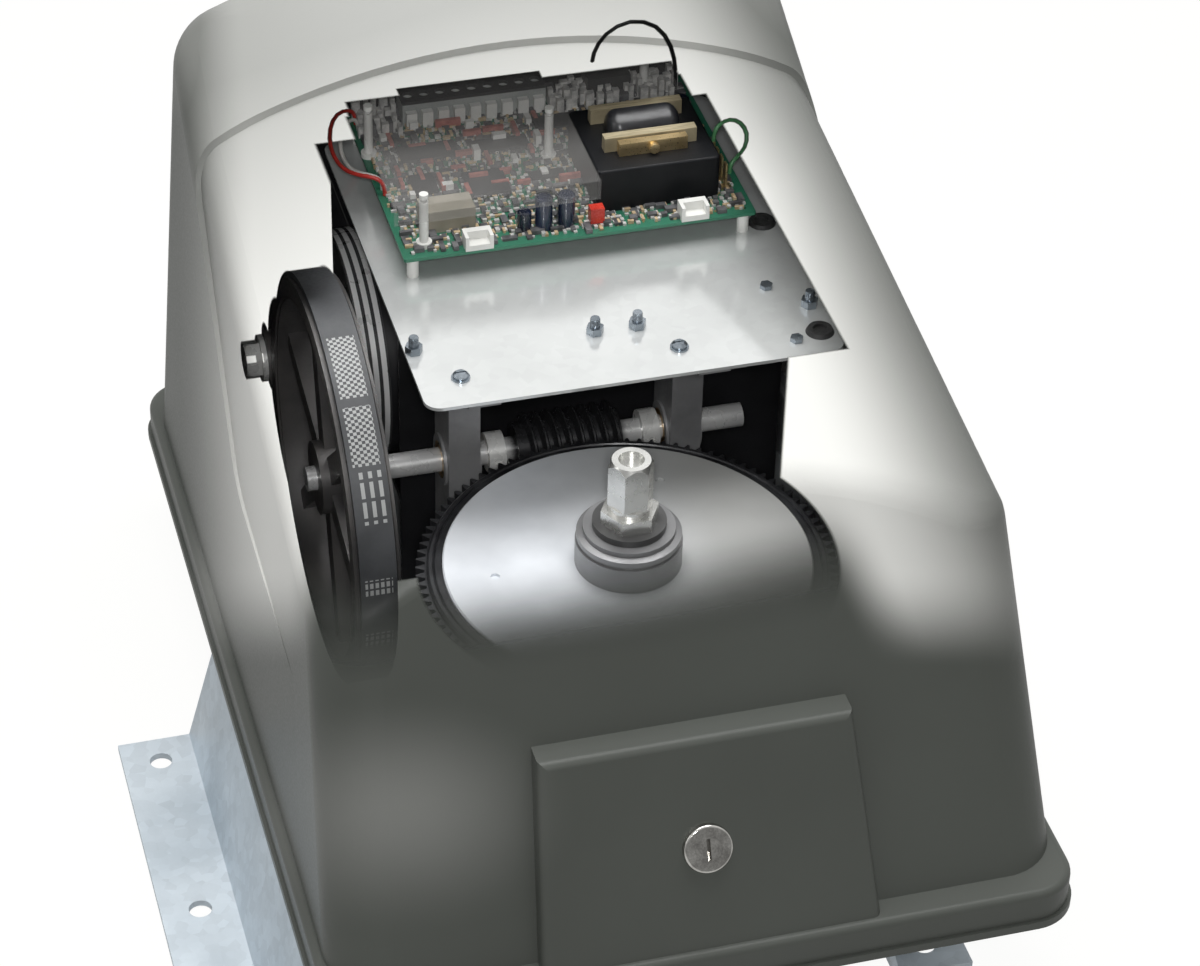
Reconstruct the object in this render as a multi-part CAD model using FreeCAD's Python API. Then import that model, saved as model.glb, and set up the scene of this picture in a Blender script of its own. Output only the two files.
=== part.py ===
import FreeCAD, Part
import math
import os
from FreeCAD import Matrix, Vector

# Swing gate operator: a worm gear drive and its electronics on a chassis, under a moulded cover.
# Lengths are millimetres, +X to the right, +Y to the rear and +Z up.
# Pieces are drawn from the middle of the cover's front edge, on top of its skirt, and are then
# moved so that the origin is the centre of the anchor hole pattern, on the ground.

# Cover
COVER_WIDTH = 406.0
COVER_DEPTH = 558.0
COVER_WALL = 4.0
SKIRT_HEIGHT = 24.0
SKIRT_CORNER_R = 24.0
SKIRT_BEAD = 2.0
SKIRT_BEAD_HEIGHT = 5.0
SKIRT_EDGE_R = 4.0
LEDGE_FRONT = 15.0
LEDGE_SIDE = 5.0
LEDGE_REAR = 13.0
BODY_CORNER_R = 32.0
FORM_HEIGHT = 420.0
SIDE_DRAFT = 0.07
REAR_DRAFT = 0.025
FRONT_SLOPE_DEG = 25.0
HOOD_FLARE = 1.0
HOOD_TAPER = 5.0
PROUD_SETBACK = 1.5
ROOF_CROWN_R = 385.0
RIDGE_Y = 450.0
RIDGE_CENTRE_Z = 278.0
HOOD_SLOPE_DEG = 9.5
CREST_SLOPE_DEG = 28.0
RIDGE_STEP = 4.5
CREST_FROM_Y = 380.0
BAND_TOP_Z = 192.0
SHOULDER_R = 22.0
STEP_LINE = ((-60.0, 100.0), (300.0, 112.0), (RIDGE_Y, 228.0))
STEP_BEND_R = 60.0
PANEL_TOP_Z = 105.0
PANEL_TOP_HALF = 84.0
PANEL_BOTTOM_HALF = 92.0
PANEL_BOTTOM_Z = -4.0
PANEL_DEPTH = 40.0
PANEL_SETBACK = 5.0
PANEL_LEAN_DEG = 23.2
PANEL_EDGE_R = 5.0

# Cover lock
LOCK_Z = 51.0
LOCK_HEAD_R = 13.3
LOCK_HEAD_T = 4.0
LOCK_BODY_R = 9.5
LOCK_BODY_LENGTH = 26.0
LOCK_PLUG_R = 7.0
LOCK_TAIL_R = 4.0
LOCK_CAM_LENGTH = 34.0
LOCK_CAM_WIDTH = 14.0
LOCK_CAM_T = 3.0

# Mounting base and chassis
GROUND_Z = -90.0
BASE_CENTRE_X = -50.0
BASE_CENTRE_Y = 184.0
BASE_SHEET = 4.0
BASE_DEPTH = 288.0
BASE_FLANGE_WIDTH = 44.0
BASE_WEB_LEAN = 16.0
ANCHOR_SPACING_X = 381.0
ANCHOR_PITCH_Y = 125.0
ANCHOR_HOLE_R = 6.5
PLATE_T = 3.0
RAIL_X = 172.0
RAIL_TOP_Z = 24.0
RAIL_LEG = 22.0
RAIL_T = 3.0
RAIL_Y0 = 70.0
RAIL_Y1 = 528.0

# Worm gear
GEAR_X = 3.0
GEAR_Y = 192.0
GEAR_MODULE = 2.2
WHEEL_TEETH = 102
WHEEL_WIDTH = 20.0
WHEEL_TOP_Z = 105.0
WORM_PITCH_R = 17.0
WORM_TURNS = 8
TOOTH_SHARE = 0.40
THREAD_SHARE = 0.38
PRESSURE_ANGLE_DEG = 20.0
WHEEL_RIM = 12.0
WHEEL_WEB_T = 8.0
BEAD_R = 108.5
BEAD_RISE = 3.4
DISC_R = 100.0
DISC_T = 5.4
HUB_R = 29.0
HUB_HEIGHT = 24.0
OUTPUT_SHAFT_R = 19.0
OUTPUT_SHAFT_BOTTOM_Z = -78.0
OUTPUT_END_R = 18.0
OUTPUT_END_TOP_Z = -37.0
HUB_HEX = 22.0
RUNNING_GAP = 0.05
WORM_SHAFT_R = 7.0
WORM_SHAFT_X0 = -147.0
WORM_SHAFT_X1 = 107.0

# Bearing bars and collars
BAR_WIDTH = 18.0
BAR_DEPTH = 34.0
BAR_ARM_Y = 258.0
LEFT_BAR_X0 = -69.0
RIGHT_BAR_X0 = 60.0
BUSH_R = 11.0
COLLAR_X = (-44.0, 46.0)
COLLAR_WIDTH = 10.0
COLLAR_R = 11.5

# Belt drive and motor
BELT_WIDTH = 20.0
BELT_T = 4.0
BELT_GAP = 0.4
BELT_X = -131.0
DRIVE_PULLEY_R = 112.0
MOTOR_PULLEY_R = 16.0
PULLEY_WIDTH = 23.0
PULLEY_SPOKES = 6
MOTOR_Y = 460.0
MOTOR_Z = 80.0
MOTOR_R = 66.0
MOTOR_BELL_R = 70.0
MOTOR_X0 = -98.0
MOTOR_X1 = 92.0
MOTOR_BELL_T = 16.0
MOTOR_SHAFT_R = 8.0

# Electronics
PLATE_X0, PLATE_X1 = -95.0, 140.0
PLATE_Y0, PLATE_Y1 = 244.0, 512.0
PLATE_Z = 190.0
PLATE_SHEET = 2.0
BOARD_X0, BOARD_X1 = -80.0, 124.0
BOARD_Y0, BOARD_Y1 = 362.0, 514.0
BOARD_Z = 203.0
BOARD_T = 1.8
CLEAR_TOP_Z = 236.0
CLEAR_T = 1.6
ENCLOSURE_T = 2.0
ENCLOSURE_FRONT_Y = 362.0
ENCLOSURE_REAR_Y = 533.0
ENCLOSURE_X1 = 145.0
FRONT_WALL_X0 = -84.0
REAR_PANEL_Z = 206.0
PLATE_SCREWS = ((-71.0, 268.0), (51.0, 267.0))
PLATE_STUDS = ((-90.0, 297.0), (10.0, 291.0), (34.0, 291.0), (132.0, 288.0))
PLATE_NUTS = ((114.0, 310.0), (115.0, 258.0))
PLATE_GROMMETS = ((131.0, 372.0), (130.0, 263.0))
GROMMET_R = 8.0
CLEAR_X0, CLEAR_X1 = -84.0, 104.0
CLEAR_Y0, CLEAR_Y1 = 368.0, 506.5
CLEAR_STEP_X, CLEAR_STEP_Y = 34.0, 452.0
POSTS = ((-66.0, 374.0), (-76.0, 470.0), (24.0, 444.0), (97.0, 500.0))
CASE_X0, CASE_X1 = 36.0, 108.0
CASE_Y0, CASE_Y1 = 382.0, 448.0
CASE_TOP_Z = 232.0
STRIP_X0, STRIP_X1 = -50.0, 36.0
STRIP_POLES = 9
CHIPS = ((-60.0, 455.0, 34.0, 16.0), (-18.0, 455.0, 34.0, 12.0), (24.0, 470.0, 30.0, 14.0),
         (-30.0, 412.0, 24.0, 24.0), (8.0, 420.0, 20.0, 8.0), (62.0, 470.0, 40.0, 16.0),
         (-60.0, 420.0, 14.0, 20.0))
RELAYS = ((-64.0, 384.0, 30.0, 16.0, 14.0), (62.0, 497.0, 26.0, 16.0, 15.0))
CAPACITORS = ((3.0, 375.5, 5.0, 21.0), (16.0, 375.5, 5.0, 21.0), (-8.0, 376.0, 4.0, 13.0),
              (110.0, 468.0, 5.0, 14.0))
CONNECTORS = ((-37.0, 362.0), (88.0, 362.0))
FUSE_X = 33.0
LEAD_R = 1.2
BOARD_TOP_Z = BOARD_Z + BOARD_T
RED_LEAD = ((-76.0, 505.0, BOARD_TOP_Z), (-76.0, 505.0, 211.0), (-80.0, 503.0, 216.5), (-89.0, 496.0, 219.5),
            (-96.0, 483.0, 218.5), (-99.5, 465.0, 216.0), (-97.0, 446.0, 214.5), (-90.0, 435.0, 216.0),
            (-80.0, 429.0, 216.5), (-76.0, 428.0, 211.0), (-76.0, 428.0, BOARD_TOP_Z))
WHITE_LEAD = ((-76.0, 498.0, BOARD_TOP_Z), (-76.0, 498.0, 210.0), (-79.5, 496.0, 214.5),
              (-86.0, 489.0, 216.0), (-91.0, 478.0, 214.5), (-93.5, 463.0, 212.0), (-91.0, 449.0, 211.0),
              (-86.0, 440.0, 213.0), (-79.5, 435.0, 213.5), (-76.0, 434.0, 209.5),
              (-76.0, 434.0, BOARD_TOP_Z))
BLACK_LEAD = ((68.0, 510.0, BOARD_TOP_Z + 15), (68.0, 510.0, 229.0), (75.0, 510.0, 242.0),
              (90.0, 509.0, 250.0), (106.0, 506.0, 246.0), (114.0, 501.0, 233.0), (116.0, 498.0, 218.0),
              (116.0, 498.0, BOARD_TOP_Z))
GREEN_LEAD = ((113.6, 414.0, BOARD_TOP_Z + 17), (113.6, 414.0, 227.0), (117.0, 415.5, 231.5),
              (124.0, 418.0, 232.5), (131.0, 418.5, 229.0), (134.5, 415.5, 222.5), (132.0, 411.0, 216.0),
              (126.0, 407.0, 213.5), (121.0, 404.5, 210.0), (121.0, 404.5, BOARD_TOP_Z))

X_AXIS, Y_AXIS, Z_AXIS = Vector(1, 0, 0), Vector(0, 1, 0), Vector(0, 0, 1)
FLOOR_Z = -SKIRT_HEIGHT
PLATFORM_Z = FLOOR_Z - PLATE_T
WHEEL_MID_Z = WHEEL_TOP_Z - WHEEL_WIDTH / 2
WHEEL_PITCH_R = GEAR_MODULE * WHEEL_TEETH / 2
WORM_PITCH = math.pi * GEAR_MODULE
WORM_Y = GEAR_Y + WHEEL_PITCH_R + WORM_PITCH_R
WORM_Z = WHEEL_MID_Z
ORIGIN_SHIFT = Vector(-BASE_CENTRE_X, -BASE_CENTRE_Y, -GROUND_Z)


# Shapes used by many pieces
def block(x0, y0, z0, x1, y1, z1):
    return Part.makeBox(x1 - x0, y1 - y0, z1 - z0, Vector(x0, y0, z0))


def rod(x, y, z, radius, length, axis=Z_AXIS):
    return Part.makeCylinder(radius, length, Vector(x, y, z), axis)


def ring(x, y, z, outer, inner, length, axis=Z_AXIS):
    return rod(x, y, z, outer, length, axis).cut(rod(x, y, z, inner, length, axis))


def joined(shapes):
    first, rest = shapes[0], list(shapes[1:])
    return first.fuse(rest).removeSplitter() if rest else first


def group(shapes):
    return Part.makeCompound(shapes)


def outline(points, radius):
    """Closed outline through flat points, with every corner rounded to one radius."""
    edges, last, first = [], None, None
    count = len(points)
    for i in range(count):
        before, corner, after = points[i - 1], points[i], points[(i + 1) % count]
        into = (before - corner).normalize()
        out = (after - corner).normalize()
        half = into.getAngle(out) / 2
        start = corner + into * (radius / math.tan(half))
        end = corner + out * (radius / math.tan(half))
        middle_line = (into + out).normalize()
        centre = corner + middle_line * (radius / math.sin(half))
        if last is not None:
            edges.append(Part.LineSegment(last, start).toShape())
        else:
            first = start
        edges.append(Part.Arc(start, centre - middle_line * radius, end).toShape())
        last = end
    edges.append(Part.LineSegment(last, first).toShape())
    return Part.Wire(edges)


def slab(x0, y0, x1, y1, z0, z1, radius):
    points = [Vector(x0, y0, z0), Vector(x1, y0, z0), Vector(x1, y1, z0), Vector(x0, y1, z0)]
    return Part.Face(outline(points, radius)).extrude(Vector(0, 0, z1 - z0))


def prism_x(points, x0, x1):
    """Straight-sided outline of (y, z) points, pulled along X."""
    corners = [Vector(x0, y, z) for y, z in points]
    return Part.Face(Part.makePolygon(corners + corners[:1])).extrude(Vector(x1 - x0, 0, 0))


def prism_y(points, y0, y1):
    """Straight-sided outline of (x, z) points, pulled along Y."""
    corners = [Vector(x, y0, z) for x, z in points]
    return Part.Face(Part.makePolygon(corners + corners[:1])).extrude(Vector(0, y1 - y0, 0))


def hexagon(centre, across_flats, length, axis):
    """Hexagon bar that starts at centre and runs along an axis of the machine."""
    side = Z_AXIS if abs(axis.z) < 0.5 else X_AXIS
    other = axis.cross(side)
    r = across_flats / math.sqrt(3)
    corners = []
    for i in range(6):
        turn = math.radians(60 * i)
        corners.append(centre + side * (r * math.cos(turn)) + other * (r * math.sin(turn)))
    return Part.Face(Part.makePolygon(corners + corners[:1])).extrude(axis * length)


def rounded_edges(shape, radius, wanted):
    """Rounds the edges whose middle point passes the given test."""
    edges = [e for e in shape.Edges if wanted(e.valueAt((e.FirstParameter + e.LastParameter) / 2), e)]
    return shape.makeFillet(radius, edges)


def runs_along(edge, axis):
    return len(edge.Vertexes) == 2 and abs(edge.tangentAt(edge.FirstParameter).dot(axis)) > 0.999


# Cover: drafted walls under a crowned roof, with the rear section standing proud of the hood
def cover_walls(inset, flare, taper, setback):
    """Drafted block: flare widens its front, taper narrows its rear and setback moves its front face in."""
    half = COVER_WIDTH / 2 - LEDGE_SIDE - inset
    rear = COVER_DEPTH - LEDGE_REAR - inset
    front = LEDGE_FRONT + setback + inset
    foot_z = -COVER_WALL
    foot = [Vector(-half - flare, front, foot_z), Vector(half + flare, front, foot_z),
            Vector(half - taper, rear, foot_z), Vector(-half + taper, rear, foot_z)]
    half -= FORM_HEIGHT * SIDE_DRAFT
    rear -= FORM_HEIGHT * REAR_DRAFT
    front += FORM_HEIGHT * math.tan(math.radians(FRONT_SLOPE_DEG))
    head = [Vector(-half - flare, front, FORM_HEIGHT), Vector(half + flare, front, FORM_HEIGHT),
            Vector(half - taper, rear, FORM_HEIGHT), Vector(-half + taper, rear, FORM_HEIGHT)]
    corner_r = BODY_CORNER_R - inset
    return Part.makeLoft([outline(foot, corner_r), outline(head, corner_r)], True, True)


def under_roof(inset, slope_deg, crest_z):
    """Everything under a roof that is arched across the machine and rises to the rear."""
    slope = math.radians(slope_deg)
    along = Vector(0, math.cos(slope), math.sin(slope))
    up = Vector(0, -math.sin(slope), math.cos(slope))
    radius = ROOF_CROWN_R / math.cos(slope) - inset
    top = Vector(0, RIDGE_Y, crest_z) - up * inset - along * 2 * COVER_DEPTH
    half_arc = math.asin(0.75 * COVER_WIDTH / radius)
    sides = []
    for side in (-1, 1):
        edge = X_AXIS * (side * radius * math.sin(half_arc))
        sides.append(top + edge + up * (radius * (math.cos(half_arc) - 1)))
    drop = up * (2 * COVER_DEPTH)
    edges = [Part.Arc(sides[0], top, sides[1]).toShape(),
             Part.LineSegment(sides[1], sides[1] - drop).toShape(),
             Part.LineSegment(sides[1] - drop, sides[0] - drop).toShape(),
             Part.LineSegment(sides[0] - drop, sides[0]).toShape()]
    return Part.Face(Part.Wire(edges)).extrude(along * 4 * COVER_DEPTH)


def rounded_roof(body, radius, from_y):
    """Rounds the edge all round the roof, behind the given place."""
    curved = [f for f in body.Faces if f.Surface.TypeId != "Part::GeomPlane"]
    roof = max(curved, key=lambda f: f.CenterOfMass.z)
    edges = [e for e in roof.Edges if e.CenterOfMass.y > from_y]
    return body.makeFillet(radius, edges)


def cover_bulk(inset):
    edge_r = SHOULDER_R - inset
    proud_z = RIDGE_CENTRE_Z + RIDGE_STEP
    hood = cover_walls(inset, HOOD_FLARE, HOOD_TAPER, 0.0)
    hood = hood.common(under_roof(inset, HOOD_SLOPE_DEG, RIDGE_CENTRE_Z))
    hood = rounded_roof(hood, edge_r, 0)
    walls = cover_walls(inset, 0.0, 0.0, PROUD_SETBACK)
    band = walls.common(block(-COVER_WIDTH, 0, -COVER_WALL, COVER_WIDTH, CREST_FROM_Y + 20, BAND_TOP_Z))
    behind = block(-COVER_WIDTH, CREST_FROM_Y, -COVER_WALL, COVER_WIDTH, COVER_DEPTH, 2 * FORM_HEIGHT)
    crest = walls.common(under_roof(inset, CREST_SLOPE_DEG, proud_z)).common(behind)
    crest = rounded_roof(crest, edge_r, CREST_FROM_Y + 1)
    return hood.fuse(band.fuse(crest).cut(step_zone(inset)))


def step_zone(inset):
    """Everything in front of and above the step line on the side walls."""
    (y0, z0), (y1, z1), (y2, z2) = STEP_LINE
    points = [(y0, z0), (y1, z1), (y2, z2), (y2, 500.0), (y0, 500.0)]
    shape = prism_x([(y + inset, z - inset) for y, z in points], -COVER_WIDTH, COVER_WIDTH)
    return rounded_edges(shape, STEP_BEND_R,
                         lambda p, e: runs_along(e, X_AXIS) and z0 < p.z < 400)


def skirt_block(grow, z0, z1):
    half = COVER_WIDTH / 2 + grow
    return slab(-half, -grow, half, COVER_DEPTH + grow, z0, z1, SKIRT_CORNER_R + grow)


def panel_block(inset):
    """Raised panel for the lock: a slanted face with a level top."""
    lean = math.tan(math.radians(PANEL_LEAN_DEG))
    top = PANEL_TOP_Z - inset
    low = PANEL_BOTTOM_Z
    front = PANEL_SETBACK + inset
    face = [(low * lean + front, low), (top * lean + front, top),
            (top * lean + PANEL_DEPTH, top), (low * lean + PANEL_DEPTH, low)]
    body = prism_x(face, -PANEL_BOTTOM_HALF, PANEL_BOTTOM_HALF)
    half_low, half_top = PANEL_BOTTOM_HALF - inset, PANEL_TOP_HALF - inset
    frame = [(-half_low, low), (half_low, low), (half_top, top), (-half_top, top)]
    body = body.common(prism_y(frame, -100.0, 200.0))
    return rounded_edges(body, PANEL_EDGE_R - inset / 2,
                         lambda p, e: p.z > low + 1 and p.y < p.z * lean + front + 1)


def lock_axis():
    """Point on the panel's face at the lock, and the direction out of the panel."""
    slope = math.radians(PANEL_LEAN_DEG)
    face = Vector(0, PANEL_SETBACK + LOCK_Z * math.tan(slope), LOCK_Z)
    return face, Vector(0, -math.cos(slope), math.sin(slope))


def cover_shell():
    bead = skirt_block(SKIRT_BEAD, FLOOR_Z, FLOOR_Z + SKIRT_BEAD_HEIGHT)
    skirt = rounded_edges(skirt_block(0, FLOOR_Z, 0), SKIRT_EDGE_R, lambda p, e: p.z > -0.1)
    outer = joined([skirt, bead, cover_bulk(0), panel_block(0)])
    inner = joined([skirt_block(-COVER_WALL, FLOOR_Z, -COVER_WALL), cover_bulk(COVER_WALL),
                    panel_block(COVER_WALL)])
    face, out = lock_axis()
    hole = Part.makeCylinder(LOCK_BODY_R, 40, face - out * 20, out)
    return outer.cut(inner).cut(hole)


def lock_housing():
    face, out = lock_axis()
    head = Part.makeCylinder(LOCK_HEAD_R, LOCK_HEAD_T, face, out)
    head = rounded_edges(head, 1.5, lambda p, e: (p - face).dot(out) > LOCK_HEAD_T - 0.1)
    barrel = Part.makeCylinder(LOCK_BODY_R, LOCK_BODY_LENGTH, face, -out)
    bore = Part.makeCylinder(LOCK_PLUG_R + RUNNING_GAP, 80, face - out * 40, out)
    return head.fuse(barrel).cut(bore)


def lock_plug():
    face, out = lock_axis()
    length = LOCK_HEAD_T + LOCK_BODY_LENGTH
    plug = Part.makeCylinder(LOCK_PLUG_R, length, face + out * LOCK_HEAD_T, -out)
    plug = plug.fuse(Part.makeCylinder(LOCK_TAIL_R, length + LOCK_CAM_T + 2, face + out * LOCK_HEAD_T, -out))
    slot = Part.makeBox(2.0, 12.0, 9.0, Vector(-1.0, -6.0, -6.0))
    slot.rotate(Vector(0, 0, 0), X_AXIS, 90 - PANEL_LEAN_DEG)
    slot.translate(face + out * LOCK_HEAD_T)
    return plug.cut(slot)


def lock_cam():
    face, out = lock_axis()
    down = X_AXIS.cross(out)
    down = down if down.z < 0 else -down
    start = face - out * (LOCK_BODY_LENGTH + 0.4)
    half = LOCK_CAM_WIDTH / 2
    corners = [start + X_AXIS * half - down * half, start + X_AXIS * half + down * LOCK_CAM_LENGTH,
               start - X_AXIS * half + down * LOCK_CAM_LENGTH, start - X_AXIS * half - down * half]
    bar = Part.Face(outline(corners, 4.0)).extrude(-out * (LOCK_CAM_T - 0.4))
    return bar.cut(Part.makeCylinder(LOCK_TAIL_R, 20, start + out * 10, -out))


# Mounting base: folded sheet with two anchor flanges, slanted webs and a raised platform
def mounting_base():
    reach = ANCHOR_SPACING_X / 2 + BASE_FLANGE_WIDTH / 2
    fold = ANCHOR_SPACING_X / 2 - BASE_FLANGE_WIDTH / 2
    deck = fold - BASE_WEB_LEAN
    t = BASE_SHEET
    side = [(reach, GROUND_Z), (fold, GROUND_Z), (deck, PLATFORM_Z - t)]
    top = [(deck + t / 2, PLATFORM_Z), (fold + t / 2, GROUND_Z + t), (reach, GROUND_Z + t)]
    points = side + [(-x, z) for x, z in reversed(side)] + [(-x, z) for x, z in reversed(top)] + top
    sheet = prism_y([(x + BASE_CENTRE_X, z) for x, z in points],
                    BASE_CENTRE_Y - BASE_DEPTH / 2, BASE_CENTRE_Y + BASE_DEPTH / 2)
    holes = [rod(GEAR_X, GEAR_Y, PLATFORM_Z - 20, OUTPUT_SHAFT_R + 6, 40)]
    for x in (-ANCHOR_SPACING_X / 2, ANCHOR_SPACING_X / 2):
        for step in (-1, 0, 1):
            holes.append(rod(BASE_CENTRE_X + x, BASE_CENTRE_Y + step * ANCHOR_PITCH_Y, GROUND_Z - 5,
                             ANCHOR_HOLE_R, 20))
    for x, y in chassis_bolt_places():
        holes.append(rod(x, y, PLATFORM_Z - 20, 5.0, 40))
    return sheet.cut(holes)


def chassis_bolt_places():
    return [(BASE_CENTRE_X + x, BASE_CENTRE_Y + y) for x in (-90, 130) for y in (-100, 100)]


def chassis_plate():
    half = COVER_WIDTH / 2 - 1
    plate = slab(-half, 1, half, COVER_DEPTH - 1, PLATFORM_Z, FLOOR_Z, SKIRT_CORNER_R)
    holes = [rod(GEAR_X, GEAR_Y, PLATFORM_Z - 20, OUTPUT_SHAFT_R + 6, 40)]
    for x, y in chassis_bolt_places():
        holes.append(rod(x, y, PLATFORM_Z - 20, 5.0, 40))
    return plate.cut(holes)


def chassis_bolts():
    bolts = []
    for x, y in chassis_bolt_places():
        head = hexagon(Vector(x, y, FLOOR_Z), 15, 6, Z_AXIS)
        shank = rod(x, y, FLOOR_Z - 18, 4.8, 18.5)
        nut = hexagon(Vector(x, y, PLATFORM_Z - BASE_SHEET), 15, 7, -Z_AXIS)
        bolts.append(joined([head, shank, nut]))
    return group(bolts)


def side_rail(side):
    x = side * RAIL_X
    inward = x - side * RAIL_LEG
    wall = block(min(x, x - side * RAIL_T), RAIL_Y0, FLOOR_Z, max(x, x - side * RAIL_T), RAIL_Y1, RAIL_TOP_Z)
    foot = block(min(x, inward), RAIL_Y0, FLOOR_Z, max(x, inward), RAIL_Y1, FLOOR_Z + RAIL_T)
    return rounded_edges(joined([wall, foot]), 8.0,
                         lambda p, e: runs_along(e, X_AXIS) and p.z > RAIL_TOP_Z - 1)


# Output: worm wheel with skewed teeth, clamped to the vertical shaft by the hub bolt
def tooth_outline(z, turn):
    addendum, dedendum = GEAR_MODULE, 1.25 * GEAR_MODULE
    spread = math.tan(math.radians(PRESSURE_ANGLE_DEG))
    half = TOOTH_SHARE * WORM_PITCH / 2
    tip = (half - addendum * spread) / (WHEEL_PITCH_R + addendum)
    root = (half + dedendum * spread) / (WHEEL_PITCH_R - dedendum)
    places = ((-root, -dedendum), (-tip, addendum), (tip, addendum), (root, -dedendum))
    points = []
    for i in range(WHEEL_TEETH):
        middle = math.pi / 2 + 2 * math.pi * (i + 0.5) / WHEEL_TEETH + turn
        for angle, rise in places:
            r = WHEEL_PITCH_R + rise
            across, along = r * math.cos(middle + angle), r * math.sin(middle + angle)
            points.append(Vector(GEAR_X + across, GEAR_Y + along, z))
    return Part.makePolygon(points + points[:1])


def worm_wheel():
    lead = WORM_PITCH / (2 * math.pi * WORM_PITCH_R)
    skew = lead * (WHEEL_WIDTH / 2) / WHEEL_PITCH_R
    low = WHEEL_TOP_Z - WHEEL_WIDTH
    rim = Part.makeLoft([tooth_outline(low, -skew), tooth_outline(WHEEL_TOP_Z, skew)], True, True)
    rim_r = WHEEL_PITCH_R - WHEEL_RIM
    hollow = rod(GEAR_X, GEAR_Y, low - 1, rim_r, WHEEL_WIDTH - WHEEL_WEB_T + 1)
    hub = rod(GEAR_X, GEAR_Y, low - 8, 40, WHEEL_WIDTH)
    bore = rod(GEAR_X, GEAR_Y, low - 20, OUTPUT_SHAFT_R, 60)
    return joined([rim.cut(hollow), hub, rim_bead()]).cut(bore)


def rim_bead():
    """Smooth raised ring between the disc and the teeth, with a shallow groove along its middle."""
    inner, outer = DISC_R + 0.4, BEAD_R
    steps = ((inner, -1.0), (outer, -1.0), (outer, BEAD_RISE - 1.2), (outer - 1.2, BEAD_RISE),
             (outer - 3.0, BEAD_RISE), (outer - 3.8, BEAD_RISE - 1.0), (outer - 4.6, BEAD_RISE),
             (inner, BEAD_RISE))
    points = [Vector(GEAR_X + r, GEAR_Y, WHEEL_TOP_Z + h) for r, h in steps]
    return Part.Face(Part.makePolygon(points + points[:1])).revolve(Vector(GEAR_X, GEAR_Y, 0), Z_AXIS, 360)


def wheel_disc():
    disc = rod(GEAR_X, GEAR_Y, WHEEL_TOP_Z, DISC_R, DISC_T)
    disc = disc.makeChamfer(0.8, [e for e in disc.Edges if e.BoundBox.ZMin > WHEEL_TOP_Z + DISC_T - 0.1])
    cuts = [rod(GEAR_X, GEAR_Y, WHEEL_TOP_Z - 1, OUTPUT_SHAFT_R, 20)]
    for dx, dy in ((-73, 3), (36, 62)):
        cuts.append(rod(GEAR_X + dx, GEAR_Y + dy, WHEEL_TOP_Z + DISC_T - 1.5, 2.5, 5))
    return disc.cut(cuts)


def hub_collar():
    z = WHEEL_TOP_Z + DISC_T
    steps = ((HUB_R, 0.0), (HUB_R, 15.0), (HUB_R - 1.5, 15.0), (HUB_R - 1.5, 17.0), (HUB_R - 0.6, 17.0),
             (HUB_R - 0.6, 20.0), (HUB_R - 4, 21.0), (HUB_R - 4, HUB_HEIGHT), (OUTPUT_SHAFT_R, HUB_HEIGHT),
             (OUTPUT_SHAFT_R, 0.0))
    points = [Vector(GEAR_X + r, GEAR_Y, z + h) for r, h in steps]
    return Part.Face(Part.makePolygon(points + points[:1])).revolve(Vector(GEAR_X, GEAR_Y, 0), Z_AXIS, 360)


def hub_washer():
    return ring(GEAR_X, GEAR_Y, WHEEL_TOP_Z + DISC_T + HUB_HEIGHT, 20.0, 8.0, 4.0)


def hub_bolt():
    z = WHEEL_TOP_Z + DISC_T + HUB_HEIGHT + 4.0
    nut = hexagon(Vector(GEAR_X, GEAR_Y, z), HUB_HEX + 6, 8, Z_AXIS)
    spacer = rod(GEAR_X, GEAR_Y, z + 8, 12.0, 4)
    head = hexagon(Vector(GEAR_X, GEAR_Y, z + 12), HUB_HEX, 28, Z_AXIS)
    crown = Part.makeCone(1.2 * HUB_HEX, HUB_HEX / 2 - 0.5, 28, Vector(GEAR_X, GEAR_Y, z + 12), Z_AXIS)
    recess = rod(GEAR_X, GEAR_Y, z + 34, 7.0, 10)
    shank = rod(GEAR_X, GEAR_Y, z - 16, 8.0, 18)
    return joined([nut, spacer, head.common(crown), shank]).cut(recess)


def output_shaft():
    top, bottom = WHEEL_TOP_Z + DISC_T + HUB_HEIGHT, OUTPUT_SHAFT_BOTTOM_Z
    free_end = rod(GEAR_X, GEAR_Y, bottom, OUTPUT_END_R, OUTPUT_END_TOP_Z - bottom)
    free_end = free_end.makeChamfer(2.0, [e for e in free_end.Edges if e.BoundBox.ZMax < bottom + 1])
    journal = rod(GEAR_X, GEAR_Y, OUTPUT_END_TOP_Z, OUTPUT_SHAFT_R, top - OUTPUT_END_TOP_Z)
    return free_end.fuse(journal).cut(rod(GEAR_X, GEAR_Y, top - 20, 8.0, 30))


def output_bearing():
    low = WHEEL_TOP_Z - WHEEL_WIDTH - 10
    flange = rod(GEAR_X, GEAR_Y, FLOOR_Z, 62, 12)
    barrel = rod(GEAR_X, GEAR_Y, FLOOR_Z, 40, low - FLOOR_Z)
    spigot = rod(GEAR_X, GEAR_Y, PLATFORM_Z - BASE_SHEET - 3, OUTPUT_SHAFT_R + 6, 12)
    ribs = []
    for i in range(4):
        rib = prism_x([(38, FLOOR_Z + 6), (60, FLOOR_Z + 6), (60, FLOOR_Z + 14), (38, low - 14)], -4, 4)
        rib.rotate(Vector(0, 0, 0), Z_AXIS, 45 + 90 * i)
        rib.translate(Vector(GEAR_X, GEAR_Y, 0))
        ribs.append(rib)
    bore = rod(GEAR_X, GEAR_Y, PLATFORM_Z - 40, OUTPUT_SHAFT_R + RUNNING_GAP, 300)
    return joined([flange, barrel, spigot] + ribs).cut(bore)


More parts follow.
